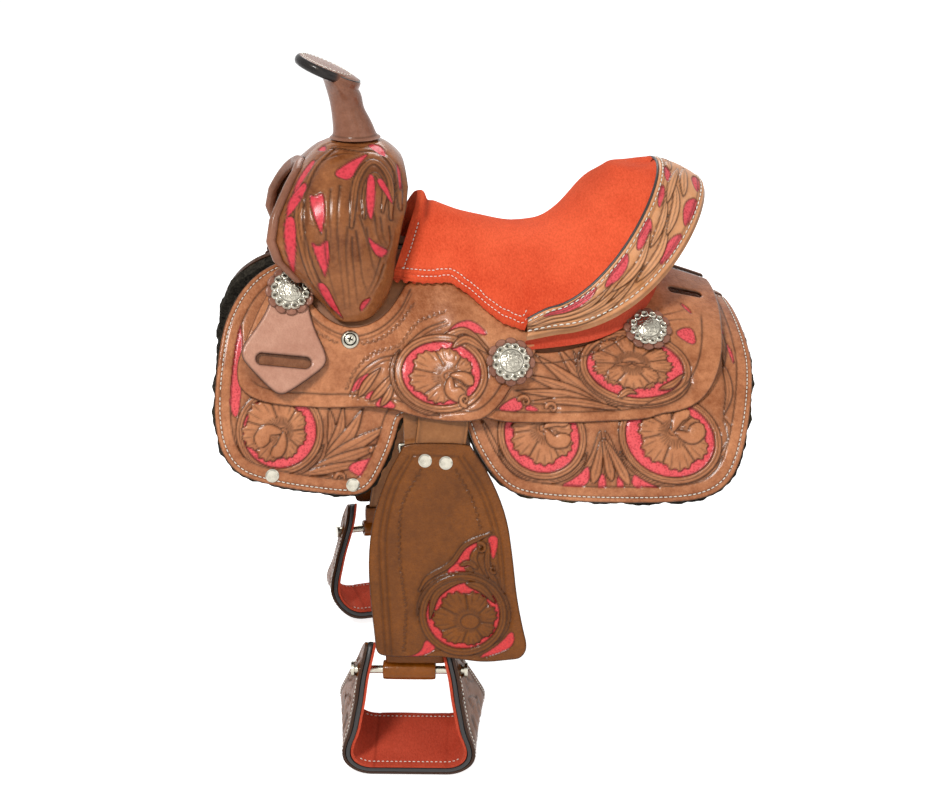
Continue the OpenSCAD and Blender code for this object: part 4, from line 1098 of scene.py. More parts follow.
# Seat jockeys
seatJockeySet = {
    "rows": [
        (-241, 134, 150), (-237, 122, 157), (-229, 106, 164), (-217, 80, 169), (-204, 59, 172),
        (-191, 46, 174), (-178, 62, 175), (-168, 76, 176), (-158, 89, 177), (-146, 98, 177),
        (-130, 103, 177), (-113, 100, 177), (-97, 91, 179), (-85, 76, 183), (-73, 56, 187),
        (-58, 52, 190), (-40, 54, 192), (-22, 58, 192), (-8, 66, 189), (8, 84, 176), (19, 94, 160),
        (34, 104, 141), (46, 112, 128),
    ],
    "grid": 1.1,
    "ring": (-47, 147), "ringSize": (41, 33.5),
    "collar": [(-190, 62), (-171, 87), (-153, 103), (-130, 111), (-105, 105), (-84, 88), (-71, 66)],
    "shells": [[(-176, 94), (-160, 107), (-144, 116)], [(-122, 117), (-104, 113), (-86, 100), (-70, 80)],
               [(-139, 160), (-128, 140), (-109, 126), (-87, 120), (-76, 108), (-66, 97), (-54, 92),
                (-42, 88)]],
    "arch": [(-135, 165), (-125, 146), (-106, 133), (-86, 128), (-74, 116), (-58, 104), (-40, 98)],
    "leaves": [([(-127, 168), (-116, 153), (-104, 141)], 4.2),
               ([(-116, 172), (-103, 160), (-92, 146)], 4.4),
               ([(-106, 177), (-98, 166), (-93, 154)], 3.6)],
    "red": [[(-133, 163), (-127, 151), (-115, 146), (-120, 156)], [(-122, 170), (-113, 161), (-108, 168)],
            [(-112, 178), (-103, 167), (-90, 179)],
            [(-36, 109), (-28, 101), (-14, 98), (-1, 112), (-18, 107)]],
}


def shellLine(k, path, pitch=5.6):
    # A row of stamped shells on a line's right hand: half rings with a lobed fan in each
    at, d, _, run, side = beside(k, curve(path, 60), 8)
    u = (run / pitch - np.floor(run / pitch) - 0.5) * pitch
    v = d * side
    r = np.hypot(u, v)
    ring = bell(r - 2.35, 0.55) * (v > -0.6)
    fan = bell(r - 1.0, 0.5) * (v > -0.6) * 0.7
    dome = bell(r, 2.2) * (v > -0.2)
    k["lift"][at] += 0.45 * dome - 0.6 * ring
    k["cut"][at] = np.maximum(k["cut"][at], 0.8 * np.maximum(ring, fan))
    k["raise"][at] = np.maximum(k["raise"][at], 0.9 * dome)


def toolSeatJockey(k):
    s = seatJockeySet
    bow(k, s["collar"], 0.8, 0.45, 0.9, False)
    bow(k, [(x + 1, q + 4) for x, q in s["collar"]], 0.7, 0.3, 0.6, False)
    for path in s["shells"]:
        shellLine(k, path)
    low = mix(13.0, 9.0, smooth((k["p"] + 150) / 60))
    groove(k, whole, k["d"] - low, 0.45, 0.8, 0.9, smooth((k["q"] - 140) / 15))
    for points in s["red"]:
        patch(k, points)
    for leaf, width in s["leaves"]:
        blade(k, leaf, width, "leaf", 1.0, 0.7)
    bow(k, s["arch"], 0.8, 0.45, 0.95, False)
    bow(k, [(x + 3, q + 3) for x, q in s["arch"]], 0.7, 0.35, 0.8, False)
    groundDisc(k, s["ring"], s["ringSize"])
    blade(k, [(-42, 114), (-20, 108), (4, 130)], 4.5, "tail", 0.9)
    ringStem(k, s["ring"], s["ringSize"], 7.0)
    ringStem(k, s["ring"], (s["ringSize"][0] + 6, s["ringSize"][1] + 5), 4.0, 95, 215)
    blade(k, [(-36, 124), (-20, 116), (0, 130)], 4.0, "leaf", 0.9)
    blossom(k, (-47, 149), (31, 26), 7, 15, (0.28, 0.05), 60, 0.2, 0.7)
    curl(k, (-26, 172), 6, 90)
    under = np.hypot((k["p"] + 196) / 40, (k["q"] - 135) / 26)   # painted shadow of the keeper on the leather
    k["cut"] = np.maximum(k["cut"], 0.5 * smooth((1.15 - under) / 0.5))
    finishMarks(k)
    low = smooth((1.25 - np.hypot((k["p"] + 192) / 60, (k["q"] - 115) / 60)) / 0.15)   # room for the keeper
    k["lift"] = mix(k["lift"], np.minimum(k["lift"], 0), low)


def makeSeatJockeys():
    outline = rowOutline(seatJockeySet["rows"])
    piece = panelPiece("seatJockey_left", outline, onBack, overSeat, layer["jockey"],
                       finishes["brown_leather"], seatJockeySet["grid"], toolSeatJockey)
    dressBoth(piece, "seatJockey", "saddle", "brown_leather", "seat_jockey")


# Rear jockeys
wallFoot = {"x": 60.0, "rear": 176.0, "half": 98.0}


def rearEdge(x):
    # Just outside the foot of the cantle's wall
    c = np.clip((x - wallFoot["x"]) / (wallFoot["rear"] - wallFoot["x"]), 0, 1) ** (1 / 0.7)
    side = wallFoot["half"] * np.sqrt(1 - c * c)
    return float(np.maximum(5, arcAt(x, side + 5, layer["bar"])))


rearJockeySet = {
    "rows": [(-12, 174, 187), (0, 152, 190), (15, 132, 192), (29, 121, 192)]
    + [(x, rearEdge(x), 191 - 9 * float(smooth((x - 52) / 140))) for x in range(52, 149, 24)]
    + [(162, rearEdge(162.0), 178), (173, rearEdge(173.0), 176), (181, 6, 174), (195, 5, 168),
       (208, 5, 157), (220, 5, 138), (229, 5, 112), (236, 5, 74), (240, 5, 42)],
    "grid": 1.15, "slot": (206, 42), "slotSize": (34.0, 8.0),
    "ring": (141, 135), "ringSize": (50, 32.5),
    "leaves": [([(128, 173), (98, 152), (82, 122)], 5.0), ([(122, 173), (88, 147), (66, 118)], 6.0),
               ([(114, 174), (80, 152), (46, 128)], 6.5), ([(110, 174), (72, 158), (34, 146)], 5.5),
               ([(112, 175), (70, 164), (24, 162)], 4.8), ([(124, 176), (76, 170), (30, 173)], 3.8)],
    "red": [[(6, 181), (14, 174), (25, 168), (30, 180)], [(32, 180), (37, 174), (47, 180)],
            [(185, 99), (194, 92), (203, 92), (202, 110)], [(196, 60), (204, 64), (206, 74)]],
}


def toolRearJockey(k):
    s = rearJockeySet
    border = mix(10.0, 20.0, smooth((k["p"] - 120) / 80))
    for points in s["red"]:
        patch(k, points)
    for leaf, width in s["leaves"]:
        blade(k, leaf, width, "leaf", 0.9, 0.6)
    curl(k, (33, 172), 6.5, 200)
    curl(k, (59, 177), 6, 190)
    groundDisc(k, s["ring"], s["ringSize"])
    ringStem(k, s["ring"], (s["ringSize"][0] + 5, s["ringSize"][1] + 4), 4.0, 20, 200)
    ringStem(k, s["ring"], s["ringSize"], 7.0)
    blossom(k, (138, 131), (39, 25.5), 11, 0, (0.0, 0.08), None, 0.2, 0.55)
    ruff = (138, 143)
    blossom(k, ruff, (25, 12.5), 7, 90, (0.0, -0.75), None, 0.1)
    blade(k, [(162, 155), (176, 149), (188, 138)], 3.2, "leaf", 0.9)
    blade(k, [(122, 165), (132, 158), (141, 160)], 3.2, "leaf", 0.9)
    bow(k, [(172, 80), (188, 74), (204, 66)])
    bow(k, [(176, 86), (190, 82), (205, 80)])
    lower = smooth((k["q"] - 45) / 20) * smooth((k["p"] + 6) / 12)
    groove(k, whole, k["d"] - border, 0.45, 0.8, 0.9,
           lower * smooth((k["q"] - rearJockeySet["slot"][1] - 24) / 14))
    outside = (k["d"] < border - 0.6) & (k["q"] > 100)
    k["ground"][outside] = 0
    finishMarks(k)


def slotLoop(centre, size):
    # Straight sides with half round ends
    a = around(40)
    r = size[1] / 2
    x = centre[0] + r * np.cos(a) + np.sign(np.cos(a)) * (size[0] / 2 - r)
    return np.stack([x, centre[1] + r * np.sin(a)], -1)


def makeRearJockeys():
    outline = rowOutline(rearJockeySet["rows"])
    hole = slotLoop(rearJockeySet["slot"], rearJockeySet["slotSize"])
    piece = panelPiece("rearJockey_left", outline, onBack, overRear, layer["jockey"],
                       finishes["brown_leather"], rearJockeySet["grid"], toolRearJockey, [hole])
    dressBoth(piece, "rearJockey", "saddle", "brown_leather", "rear_jockey")


makeSkirts()
print("skirts made")
makeFleece()
makeSeatJockeys()
makeRearJockeys()
print("fleece and jockeys made")


# Pieces on a grid of two parameters: normals from the grid, tooling moves the points along them
def gridNormals(points):
    across = np.cross(np.gradient(points, axis=1), np.gradient(points, axis=0))
    size = np.linalg.norm(across, axis=-1, keepdims=True)
    return across / np.maximum(size, 1e-9)


def markFields(k):
    return {name: k[name] for name in ("cut", "paint", "edge", "raise")}


# Cantle rim: an angle of 0 is the rear, a quarter turn is the left side
rimSet = {"x": 65.0, "half": 98.0, "rear": 182.0, "rise": 138.0, "wide": 48.0, "thick": 6.0, "end": 97.0}
rimFoot = float(deck(rimSet["x"], rimSet["half"], 22.0)) + 9


def cosPower(a, power):
    c = np.cos(a)
    return np.sign(c) * np.abs(c) ** power


def rimHeight(a):
    return np.maximum(0, (np.cos(a) + 0.2) / 1.2)


def rimIn(a, inset=0.0):
    x = rimSet["x"] + (rimSet["rear"] - rimSet["x"] - inset) * cosPower(a, 0.7)
    return stack(x, -(rimSet["half"] - inset) * np.sin(a), rimFoot + rimSet["rise"] * rimHeight(a) ** 1.15)


def rimOut(a):
    x = rimSet["x"] + 7 + (rimSet["rear"] + rimSet["wide"] - rimSet["x"] - 7) * cosPower(a, 0.7)
    z = rimFoot - 10 + (rimSet["rise"] - 13) * rimHeight(a) ** 1.6
    return stack(x, -(rimSet["half"] + 12) * np.sin(a), z)


bindingSet = {
    "along": 520, "across": 44, "crown": 4.0, "stitchInset": 4.5,
    "leaves": [   # angle and share across, from base to tip, then half width
        ([(97, 0.50), (86, 0.52), (74, 0.36)], 3.0), ([(97, 0.66), (84, 0.66), (68, 0.48)], 3.4),
        ([(95, 0.80), (80, 0.78), (62, 0.60)], 3.2), ([(76, 0.52), (63, 0.50), (50, 0.28)], 3.8),
        ([(68, 0.72), (54, 0.68), (40, 0.46)], 4.2), ([(56, 0.48), (43, 0.40), (30, 0.24)], 3.8),
        ([(48, 0.62), (34, 0.52), (20, 0.34)], 4.4), ([(36, 0.34), (24, 0.32), (8, 0.42)], 4.0),
        ([(28, 0.60), (16, 0.54), (3, 0.58)], 4.4), ([(14, 0.24), (7, 0.22), (0, 0.30)], 3.4),
    ],
    "red": [
        [(93, 0.32), (88, 0.13), (79, 0.11), (84, 0.38)], [(77, 0.34), (72, 0.13), (63, 0.11), (68, 0.38)],
        [(60, 0.30), (55, 0.12), (46, 0.11), (51, 0.34)], [(58, 0.84), (51, 0.90), (43, 0.88), (49, 0.70)],
        [(40, 0.84), (33, 0.90), (24, 0.88), (31, 0.66)], [(20, 0.84), (13, 0.90), (5, 0.86), (12, 0.70)],
        [(40, 0.24), (35, 0.12), (27, 0.12), (31, 0.24)], [(24, 0.22), (18, 0.12), (10, 0.13), (15, 0.26)],
    ],
}


def bindingTop(a, w):
    # From the inner edge to the outer one, with a low crown between
    p = mix(rimIn(a), rimOut(a), w[..., None])
    crown = bindingSet["crown"] * (0.4 + 0.6 * rimHeight(a)) * (1 - (2 * w - 1) ** 2) ** 0.9
    return p + stack(0 * a, 0 * a, crown)


def makeBinding():
    n, m = int(bindingSet["along"] / coarse), bindingSet["across"]
    end = math.radians(rimSet["end"])
    a, w = crossed(np.linspace(end, -end, n), np.linspace(0, 1, m))
    top = bindingTop(a, w)
    middle = bindingTop(a[:, :1], np.full((n, 1), 0.5))[:, 0]
    run = runOf(middle)
    wide = np.linalg.norm(rimOut(a[:, 0]) - rimIn(a[:, 0]), axis=1)
    half = run[-1] / 2
    p = half - np.abs(run - half)
    k = newMarks(np.broadcast_to(p[:, None], a.shape), (w - 0.5) * wide[:, None])

    def onRim(angle, share):
        at = math.radians(angle)
        return (float(np.interp(-at, -a[:, 0], run)), (share - 0.5) * float(np.interp(-at, -a[:, 0], wide)))
    for points in bindingSet["red"]:
        patch(k, [onRim(*c) for c in points])
    for path, width in bindingSet["leaves"]:
        blade(k, [onRim(*c) for c in path], width, "leaf", 0.9, 0.5)
    inset = bindingSet["stitchInset"]
    inner = (w * wide[:, None]).ravel()
    outer = ((1 - w) * wide[:, None]).ravel()
    for d in (inner, outer):
        groove(k, whole, d - inset, 0.6, 1.1, 0.5)
        groove(k, whole, d - 7.5, 0.3, 0.7, 0.7)
    ends = np.minimum(run, run[-1] - run)
    finishMarks(k)
    rim = np.minimum(np.minimum(inner, outer), np.repeat(ends, m))
    lift = k["lift"] - 1.4 * fade(rim, 2.5) ** 2
    k["edge"] = 0.55 * fade(rim, 1.3)
    top = top + gridNormals(top) * lift.reshape(n, m, 1)
    drop = np.array([0, 0, -rimSet["thick"]])
    inEdge, outEdge = rimIn(a[:, 0]), rimOut(a[:, 0])
    under = np.stack([outEdge + 0.6 * drop, mix(inEdge, outEdge, 0.5) + drop, inEdge + 0.8 * drop], 1)
    rings = np.concatenate([top, under], 1)
    fields = {}
    for name, values in markFields(k).items():
        low = np.full((n, 3), 0.5 if name == "edge" else 0.0)
        fields[name] = np.concatenate([values.reshape(n, m), low], 1)
    piece = ringPiece("cantleBinding", rings, finishes["binding"], fields)
    dress(piece, "saddle", "tan_leather", "cantle_binding")
    lines = []
    for share in (inset / wide, 1 - inset / wide):
        lines.append((bindingTop(a[:, :1], share[:, None])[:, 0], np.tile(zWay, (n, 1))))
    thread = stitchPiece("bindingStitch", lines, 4.2, 6.2, 0.75)
    dress(thread, "saddle", "tan_leather")
    # Black welt between the binding and the seat
    angle = np.linspace(end, -end, 220)
    core = rimIn(angle, 1.4) - 0.6 * zWay
    away = unit(core - rimSet["x"] * xWay - zWay * core[:, 2:3])
    welt = ringPiece("seatWelt", tubeRings(core, 1.5, away, zWay, 8), finishes["blackEdge"])
    dress(welt, "saddle", "tan_leather")


# Cantle back
def wallFootPoint(a, h):
    x = wallFoot["x"] + (wallFoot["rear"] - wallFoot["x"]) * cosPower(a, 0.7)
    y = wallFoot["half"] * np.sin(a)
    return stack(x, -y, deck(x, y, h))


def wallPoint(a, v, d, h):
    foot = wallFootPoint(a, layer["bar"] + layer["gap"])
    top = mix(rimIn(a), rimOut(a), 0.65) - np.array([0, 0, rimSet["thick"] + 3])
    flatFoot = wallFootPoint(a, 0.0)
    way = unit(stack(flatFoot[..., 0] - wallFoot["x"] + 12, flatFoot[..., 1], 0 * a))
    p = mix(foot, top, v[..., None]) + np.broadcast_to(d, np.shape(v))[..., None] * way
    p[..., 2] = np.maximum(p[..., 2], deck(p[..., 0], p[..., 1], h))
    return p


def makeCantleBack():
    a, v = crossed(np.radians(np.linspace(97, -97, 180)), np.linspace(0.0, 0.97, 20))
    flare = 7.0 * np.maximum(0, 1 - v / 0.4) ** 2
    h = layer["bar"] + layer["jockey"] + 2 * layer["gap"]
    piece = slabPiece("cantleBack", wallPoint(a, v, 3.0 + flare, h), wallPoint(a, v, 0.4, h - 2.0),
                      finishes["lining"], None, True)
    dress(piece, "saddle", "red_suede", "cantle_back")


# Seat: t runs from the front to the rear of the rim, q across from left to right
seatSet = {
    "front": -60.0, "frontLow": -88.0, "turn": 0.42, "low": 17.0, "deep": 50.0, "last": 0.985, "pad": 15.0,
    "sideEnd": 36.0, "edgeLift": 4.5, "stitchInsets": (3.0, 9.0),
    "edge": [(-88, 55), (-60, 57), (-33, 57), (-15, 70), (0, 85), (15, 97), (36, 104)],
    "scallop": 4.4, "scallopPitch": 8.4, "roll": 5.0, "grid": (300, 110),
}


def padBase(x):
    return layer["bar"] + layer["jockey"] + 2 * layer["gap"] + jockeyStep(x) + 0.4


def seatPoint(t, q):
    s = seatSet
    x = mix(s["frontLow"], s["sideEnd"], np.minimum(t / s["turn"], 1))
    low = onBack(x, tabled(s["edge"], x), padBase(x) + s["edgeLift"])
    high = rimIn(np.radians(rimSet["end"] * (1 - np.clip((t - s["turn"]) / (1 - s["turn"]), 0, 1))), 1.5)
    e = np.where((t < s["turn"])[..., None], low, high)
    cx = mix(s["front"], rimSet["rear"] - 1.5, t)
    rearZ = float(rimIn(np.array(0.0))[2]) - 1
    front = s["low"] + 33 * np.maximum((s["deep"] - cx) / (s["deep"] - s["front"]), 0) ** 1.6
    behind = np.maximum((cx - s["deep"]) / (rimSet["rear"] - 1.5 - s["deep"]), 0)
    rear = s["low"] + (rearZ - s["low"]) * behind ** 1.9
    cz = np.where(cx < s["deep"], front, rear)
    b = np.abs(q)
    return stack(mix(cx, e[..., 0], b * b), e[..., 1] * q, mix(cz, e[..., 2], b ** mix(2, 2.6, t)))


def makeSeat():
    s = seatSet
    rows, cols = s["grid"]
    first = int(rows * 0.62)   # rows along the sides; the rest go round the rim
    share = np.concatenate([np.linspace(0, s["turn"], first, endpoint=False),
                            np.linspace(s["turn"], s["last"], rows - first)])
    across = np.sin(np.linspace(-1, 1, cols) * np.pi / 2 * 0.86) / math.sin(np.pi / 2 * 0.86)
    t, q = crossed(share, across)
    top = seatPoint(t, q)
    edgeRun = runOf(top[:, 0])
    side = smooth((s["turn"] + 0.015 - share) / 0.02)
    pinked = s["scallop"] * np.abs(np.sin(np.pi * edgeRun / s["scallopPitch"])) ** 0.9 * side
    x = mix(s["frontLow"], s["sideEnd"], np.minimum(share / s["turn"], 1))
    low = tabled(s["edge"], x)
    outer = unit(onBack(x, low + 1, padBase(x) + s["edgeLift"])
                 - onBack(x, low, padBase(x) + s["edgeLift"]))
    for j, sign in ((0, -1), (cols - 1, 1)):
        way = outer * np.array([1, sign, 1])
        top[:, j] += way * (pinked + side)[:, None]
    base = seatPoint(t, q)
    girth = np.linalg.norm(np.diff(base, axis=1), axis=2).cumsum(1)
    girth = np.concatenate([np.zeros((len(share), 1)), girth], 1)
    edgeFar = np.minimum(girth, girth[:, -1:] - girth)
    frontFar = np.linalg.norm(top - top[:1], axis=2)
    sideMask = side[:, None]
    seam = sideMask * (bell(edgeFar - 3.0, 1.3) + bell(edgeFar - 9.0, 1.3))
    seam = np.maximum(seam, bell(frontFar - 8, 1.3) * smooth((np.abs(q) - 0.42) / 0.1))
    flatEdge = 2.0 * smooth((9.0 - edgeFar) / 6) * sideMask
    lip = s["roll"] * bell(frontFar - 5, 6.0) * smooth((0.62 - np.abs(q)) / 0.25)
    pleat = 2.2 * bell(frontFar - 14, 4.0) * smooth((0.6 - np.abs(q)) / 0.25)
    wx, wy = top[..., 0], top[..., 1]
    wrinkle = 0.35 * np.sin(wx / 9 + 1.2 * np.sin(wy / 17)) * np.sin(wy / 13 + 0.6)
    pillow = 1.8 * smooth((edgeFar - 12) / 22) * smooth((s["last"] - t) / 0.12)
    roll = 27.0 * smooth((t - 0.5) / 0.3) * smooth((1.0 - t) / 0.14) * (1 - q * q) ** 0.7
    lift = lip - pleat + wrinkle + pillow + roll - flatEdge - 0.9 * seam
    normal = gridNormals(top)
    normal *= np.sign(normal[..., 2:3] + 1e-9)
    full = s["pad"] * (1 - 0.7 * np.abs(q) ** 5) * (1 - 0.7 * np.abs(2 * t - 1) ** 8)
    low = np.maximum(base[..., 2] - full, deck(base[..., 0], base[..., 1], padBase(base[..., 0])))
    under = top.copy()
    under[..., 2] = np.minimum(base[..., 2] - 2.5, low)
    top = top + normal * lift[..., None]
    # Darkening: seams and the cut edge, painted shade in the front pleat's crease, and painted shade over
    # the rear of the seat
    dark = np.clip(0.9 * pleat / 2.2 + 0.55 * seam + 0.5 * np.exp(-edgeFar / 1.2) * sideMask
                   + 0.42 * smooth((t - 0.6) / 0.3) * smooth((edgeFar - 25) / 40), 0, 1)
    piece = slabPiece("seatCover", top, under, finishes["red_suede"], {"cut": dark}, False, 60)
    dress(piece, "saddle", "red_suede", "seat_cover")
    lines = []
    for inset in s["stitchInsets"]:
        for right in (False, True):
            j = np.abs(edgeFar[:, :cols // 2] - inset).argmin(1)
            column = cols - 1 - j if right else j
            rowsUsed = np.flatnonzero(share < s["turn"] + 0.005)[8:]
            lines.append((top[rowsUsed, column[rowsUsed]], normal[rowsUsed, column[rowsUsed]]))
    row = np.abs(frontFar - 8).argmin(0)
    for picked in (np.flatnonzero(across < -0.5)[6:], np.flatnonzero(across > 0.5)[:-6]):
        lines.append((top[row[picked], picked], normal[row[picked], picked]))
    thread = stitchPiece("seatStitch", [(evenLine(a), evenLine(b)) for a, b in lines], 2.8, 4.2, 0.5)
    dress(thread, "saddle", "red_suede")


def evenLine(values):
    # Smooths the small steps of a line picked from a grid
    line = np.asarray(values, float)
    for _ in range(6):
        line = np.vstack([line[:1], 0.25 * line[:-2] + 0.5 * line[1:-1] + 0.25 * line[2:], line[-1:]])
    return line


# Fork: an angle from its top and v from front to rear
forkSet = {
    "x": -131.0, "half": 96.0, "top": 110.0, "level": 5.0, "crown": 20.0, "end": 124.0, "cover": 4.0,
    "girth": 1.75,
    "front": [(0, 36), (20, 41), (40, 52), (60, 64), (75, 68), (88, 62), (100, 48), (112, 35), (120, 26),
              (124, 21), (127, 15)],
    "back": [(0, 58), (20, 59), (40, 60), (55, 57), (70, 51), (88, 45), (100, 43), (112, 39), (120, 36),
             (124, 32), (127, 24)],
    "grid": (300, 96),
    "stems": [   # x and girth from the top, with half widths
        ([(-142, 30), (-164, 58), (-177, 108), (-168, 160), (-150, 200)], 4.2),
        ([(-128, 120), (-121, 76), (-104, 52), (-89, 72), (-90, 112)], 3.4),
        ([(-116, 112), (-113, 84), (-103, 68), (-95, 84), (-98, 106)], 2.6),
        ([(-140, 26), (-118, 33), (-98, 34), (-82, 56), (-80, 100)], 3.4),
    ],
    "cuts": [[(-137, 82), (-141, 110), (-141, 140), (-136, 199)],
             [(-120, 110), (-112, 140), (-108, 160), (-99, 172)],
             [(-124, 124), (-121, 150), (-119, 168), (-112, 190)], [(-128, 130), (-128, 150), (-124, 194)],
             [(-132, 120), (-134, 150), (-131, 200)], [(-152, 122), (-153, 150), (-143, 196)],
             [(-100, 112), (-98, 130), (-92, 142)], [(-150, 12), (-120, 15), (-92, 16)],
             [(-106, 108), (-104, 128), (-98, 140)],
             [(-84, 58), (-82, 84), (-86, 116)], [(-92, 120), (-91, 136), (-97, 152)],
             [(-101, 150), (-108, 170), (-117, 188)],
             [(-172, 118), (-171, 150), (-157, 190)], [(-146, 84), (-148, 112), (-147, 150)],
             [(-98, 158), (-104, 174), (-112, 186)],
             [(-150, 44), (-128, 40), (-112, 46)], [(-176, 84), (-170, 100), (-170, 122)],
             [(-114, 122), (-110, 150), (-104, 166)]],
    "red": [
        [(-164, 38), (-160, 45), (-171, 64), (-180, 77), (-180, 77), (-176, 58)],
        [(-173, 71), (-169, 77), (-176, 92), (-187, 104), (-187, 104), (-185, 85)],
        [(-190, 112), (-181, 112), (-181, 135), (-184, 166), (-184, 166), (-190, 140)],
        [(-165, 88), (-160, 93), (-154, 88), (-153, 107), (-157, 122), (-157, 122), (-163, 106)],
        [(-165, 134), (-159, 140), (-151, 132), (-151, 149), (-155, 162), (-155, 162), (-161, 148)],
        [(-161, 177), (-153, 176), (-146, 194), (-140, 209), (-140, 209), (-152, 198)],
        [(-141, 66), (-128, 55), (-108, 41), (-120, 58), (-126, 73)],
        [(-110, 72), (-104, 73), (-105, 95), (-109, 113), (-113, 98)],
        [(-102, 75), (-94, 74), (-87, 98), (-94, 88)], [(-113, 130), (-104, 138), (-93, 144), (-104, 150)],
        [(-121, 193), (-110, 189), (-121, 205)], [(-156, 18), (-148, 13), (-148, 30)],
        [(-109, 26), (-94, 21), (-90, 44)], [(-81, 40), (-76, 60), (-80, 84)],
    ],
}


def forkPoint(a, v, inset=0.0, arch=False):
    # Front and rear edges by angle, a crowned section between them, held above the bars
    s = forkSet
    b = np.abs(a)
    mid = s["x"] + 13 * np.cos(np.radians(np.minimum(90, b))) ** 2
    ahead = mix(mid, s["x"] - tabled(s["front"], b) + inset, -v)
    behind = mix(mid, s["x"] + tabled(s["back"], b) - inset, v)
    x = np.where(v < 0, ahead, behind)
    c = inset + s["crown"] * np.abs(v) ** 3
    half, high = (56.0, 57.0) if arch else (s["half"] - c, s["top"] - s["level"] - c)
    y = -half * np.sin(np.radians(a))
    z = s["level"] + high * np.cos(np.radians(a))
    room = layer["bar"] + 1.2 + 23 * smooth((s["x"] - 22 - x) / 20)
    return stack(x, y, np.maximum(z, deck(x, y, room)))


def makeFork():
    s = forkSet
    n, m = int(s["grid"][0] / coarse), int(s["grid"][1] / coarse)
    a, v = crossed(np.linspace(s["end"], -s["end"], n), np.linspace(-1, 1, m))
    top = forkPoint(a, v)
    k = newMarks(top[..., 0], np.abs(a) * s["girth"])
    for path, width in s["stems"]:
        blade(k, path, width, "stem", 1.0, 0.5)
    for points in s["red"]:
        patch(k, points)
    for path in s["cuts"]:
        bow(k, path, 0.9, 0.5, 0.9)
    dot = np.hypot(k["p"] + 137, k["q"] - 81)
    k["cut"] = np.maximum(k["cut"], bell(dot, 1.8))
    finishMarks(k)
    k["edge"] = 0.8 * np.maximum(fade(1 - np.abs(v), 0.025), fade(s["end"] - np.abs(a), 1.5)).ravel()
    normal = gridNormals(top)
    normal *= np.sign((normal * (top - s["x"] * xWay)).sum(-1, keepdims=True))
    fadeIn = np.minimum(1, (1 - np.abs(v)) / 0.04)
    top = top + normal * (k["lift"].reshape(n, m, 1) * fadeIn[..., None])
    piece = slabPiece("forkCover", top, forkPoint(a, v, s["cover"]), finishes["fork"], markFields(k),
                      False, 60)
    dress(piece, "saddle", "brown_leather", "fork_cover")
    # Roll round the front edge
    angle = np.linspace(105, -105, 160)
    front = np.full(160, -1.0)
    core = mix(forkPoint(angle, front), forkPoint(angle, front, 0.0, True), 0.12) - 4.4 * xWay
    out = unit(stack(0 * angle, core[:, 1], core[:, 2] - s["level"]))
    roll = ringPiece("gulletRoll", tubeRings(core, 5.0, out, xWay, 14), finishes["horn"])
    dress(roll, "saddle", "brown_leather", "gullet_roll")


# Horn
hornSet = {"foot": (-118.0, 0.0, 110.4), "lean": -12.0, "neck": 58.0, "shift": -7.0, "tilt": 24.0,
           "cap": 28.0, "capLong": 1.06, "capAhead": -12.0, "swell": 9.4,
           "dome": [(0.8, 25.2), (4.0, 25.3), (6.4, 25.0), (8.2, 23.4), (9.6, 20.0), (10.5, 15.0),
                    (10.9, 7.0)]}


def makeHorn():
    s = hornSet
    foot = np.array(s["foot"])
    lean = turnedAxes("Y", s["lean"])
    head = foot + np.array([s["shift"], 0, s["neck"]]) @ lean
    t = np.linspace(0, 1, 40)
    bend = np.radians(mix(0.0, s["tilt"], smooth(t * 1.05)))
    centre = mix(foot + np.array([0, 0, -0.6]), head + np.array([0, 0, 0.6]) @ turnedAxes("Y", s["tilt"]),
                 t[:, None])
    centre[:, 0] += 12.0 * t * (1 - t) ** 0.9
    # The neck swells at the back to run into the cap, and a low dome closes it under the cap's rear
    swell = smooth((t - 0.45) / 0.55) ** 1.3
    radius = 15.8 + 5.6 * (1 - t) ** 1.6 + 3.5 * np.exp(-t / 0.03) + s["swell"] * swell
    axes = turnedAxes("Y", s["tilt"])
    dome = np.array(s["dome"])
    t = np.concatenate([t, np.ones(len(dome))])
    swell = np.concatenate([swell, np.ones(len(dome))])
    bend = np.concatenate([bend, np.full(len(dome), math.radians(s["tilt"]))])
    centre = np.concatenate([centre, head + dome[:, :1] * axes[2]])
    radius = np.concatenate([radius, dome[:, 1]])
    along = stack(np.cos(bend), 0, -np.sin(bend))
    reach = radius[:, None] * (1 - 0.4 * swell[:, None] * np.maximum(0, -np.cos(around(40))))
    ring = tubeRings(centre, reach[..., None], along, yWay, 40)
    dark = 0.75 * bell(t - 0.045, 0.012)[:, None]
    wrap = ringPiece("hornWrap", ring, finishes["horn"], {"cut": dark})
    dress(wrap, "saddle", "brown_leather", "horn_wrap")
    r = s["cap"]
    profile = [(1, 0.2), (r - 9, 0.2), (r - 3.5, 0.0), (r - 1.2, 0.9), (r, 3.2), (r + 0.2, 6.0),
               (r - 0.6, 8.2), (r - 1.4, 9.2),
               (r - 2.0, 9.6), (r - 2.6, 9.9), (r - 4, 10.4), (r - 8, 11.0), (r - 16, 11.6), (3, 12.0),
               (0.5, 12.0)]
    crown = head + s["capAhead"] * axes[0]
    spot = (axes[0] * s["capLong"], axes[1], axes[2], crown)
    black = np.array([0, 0.6, 1, 1, 1, 1, 1, 1, 0.8, 0.1, 0, 0, 0, 0, 0.0])[:, None]
    black = black * smooth((0.55 - np.cos(around(72))) / 0.25)
    cap = turnedPiece("hornCap", profile, [spot], finishes["hornCap"], 72, None, {"edge": black})
    dress(cap, "saddle", "brown_leather", "horn_cap")
    turn = np.linspace(0, 2 * np.pi, 160)
    line = crown + stack(s["capLong"] * (r - 4.6) * np.cos(turn), (r - 4.6) * np.sin(turn), 10.5) @ axes
    thread = stitchPiece("hornStitch", [(line, np.tile(axes[2], (160, 1)))], 3.0, 4.4, 0.6)
    dress(thread, "saddle", "brown_leather")


makeBinding()
makeCantleBack()
makeSeat()
makeFork()
makeHorn()
print("seat, cantle, fork and horn made")


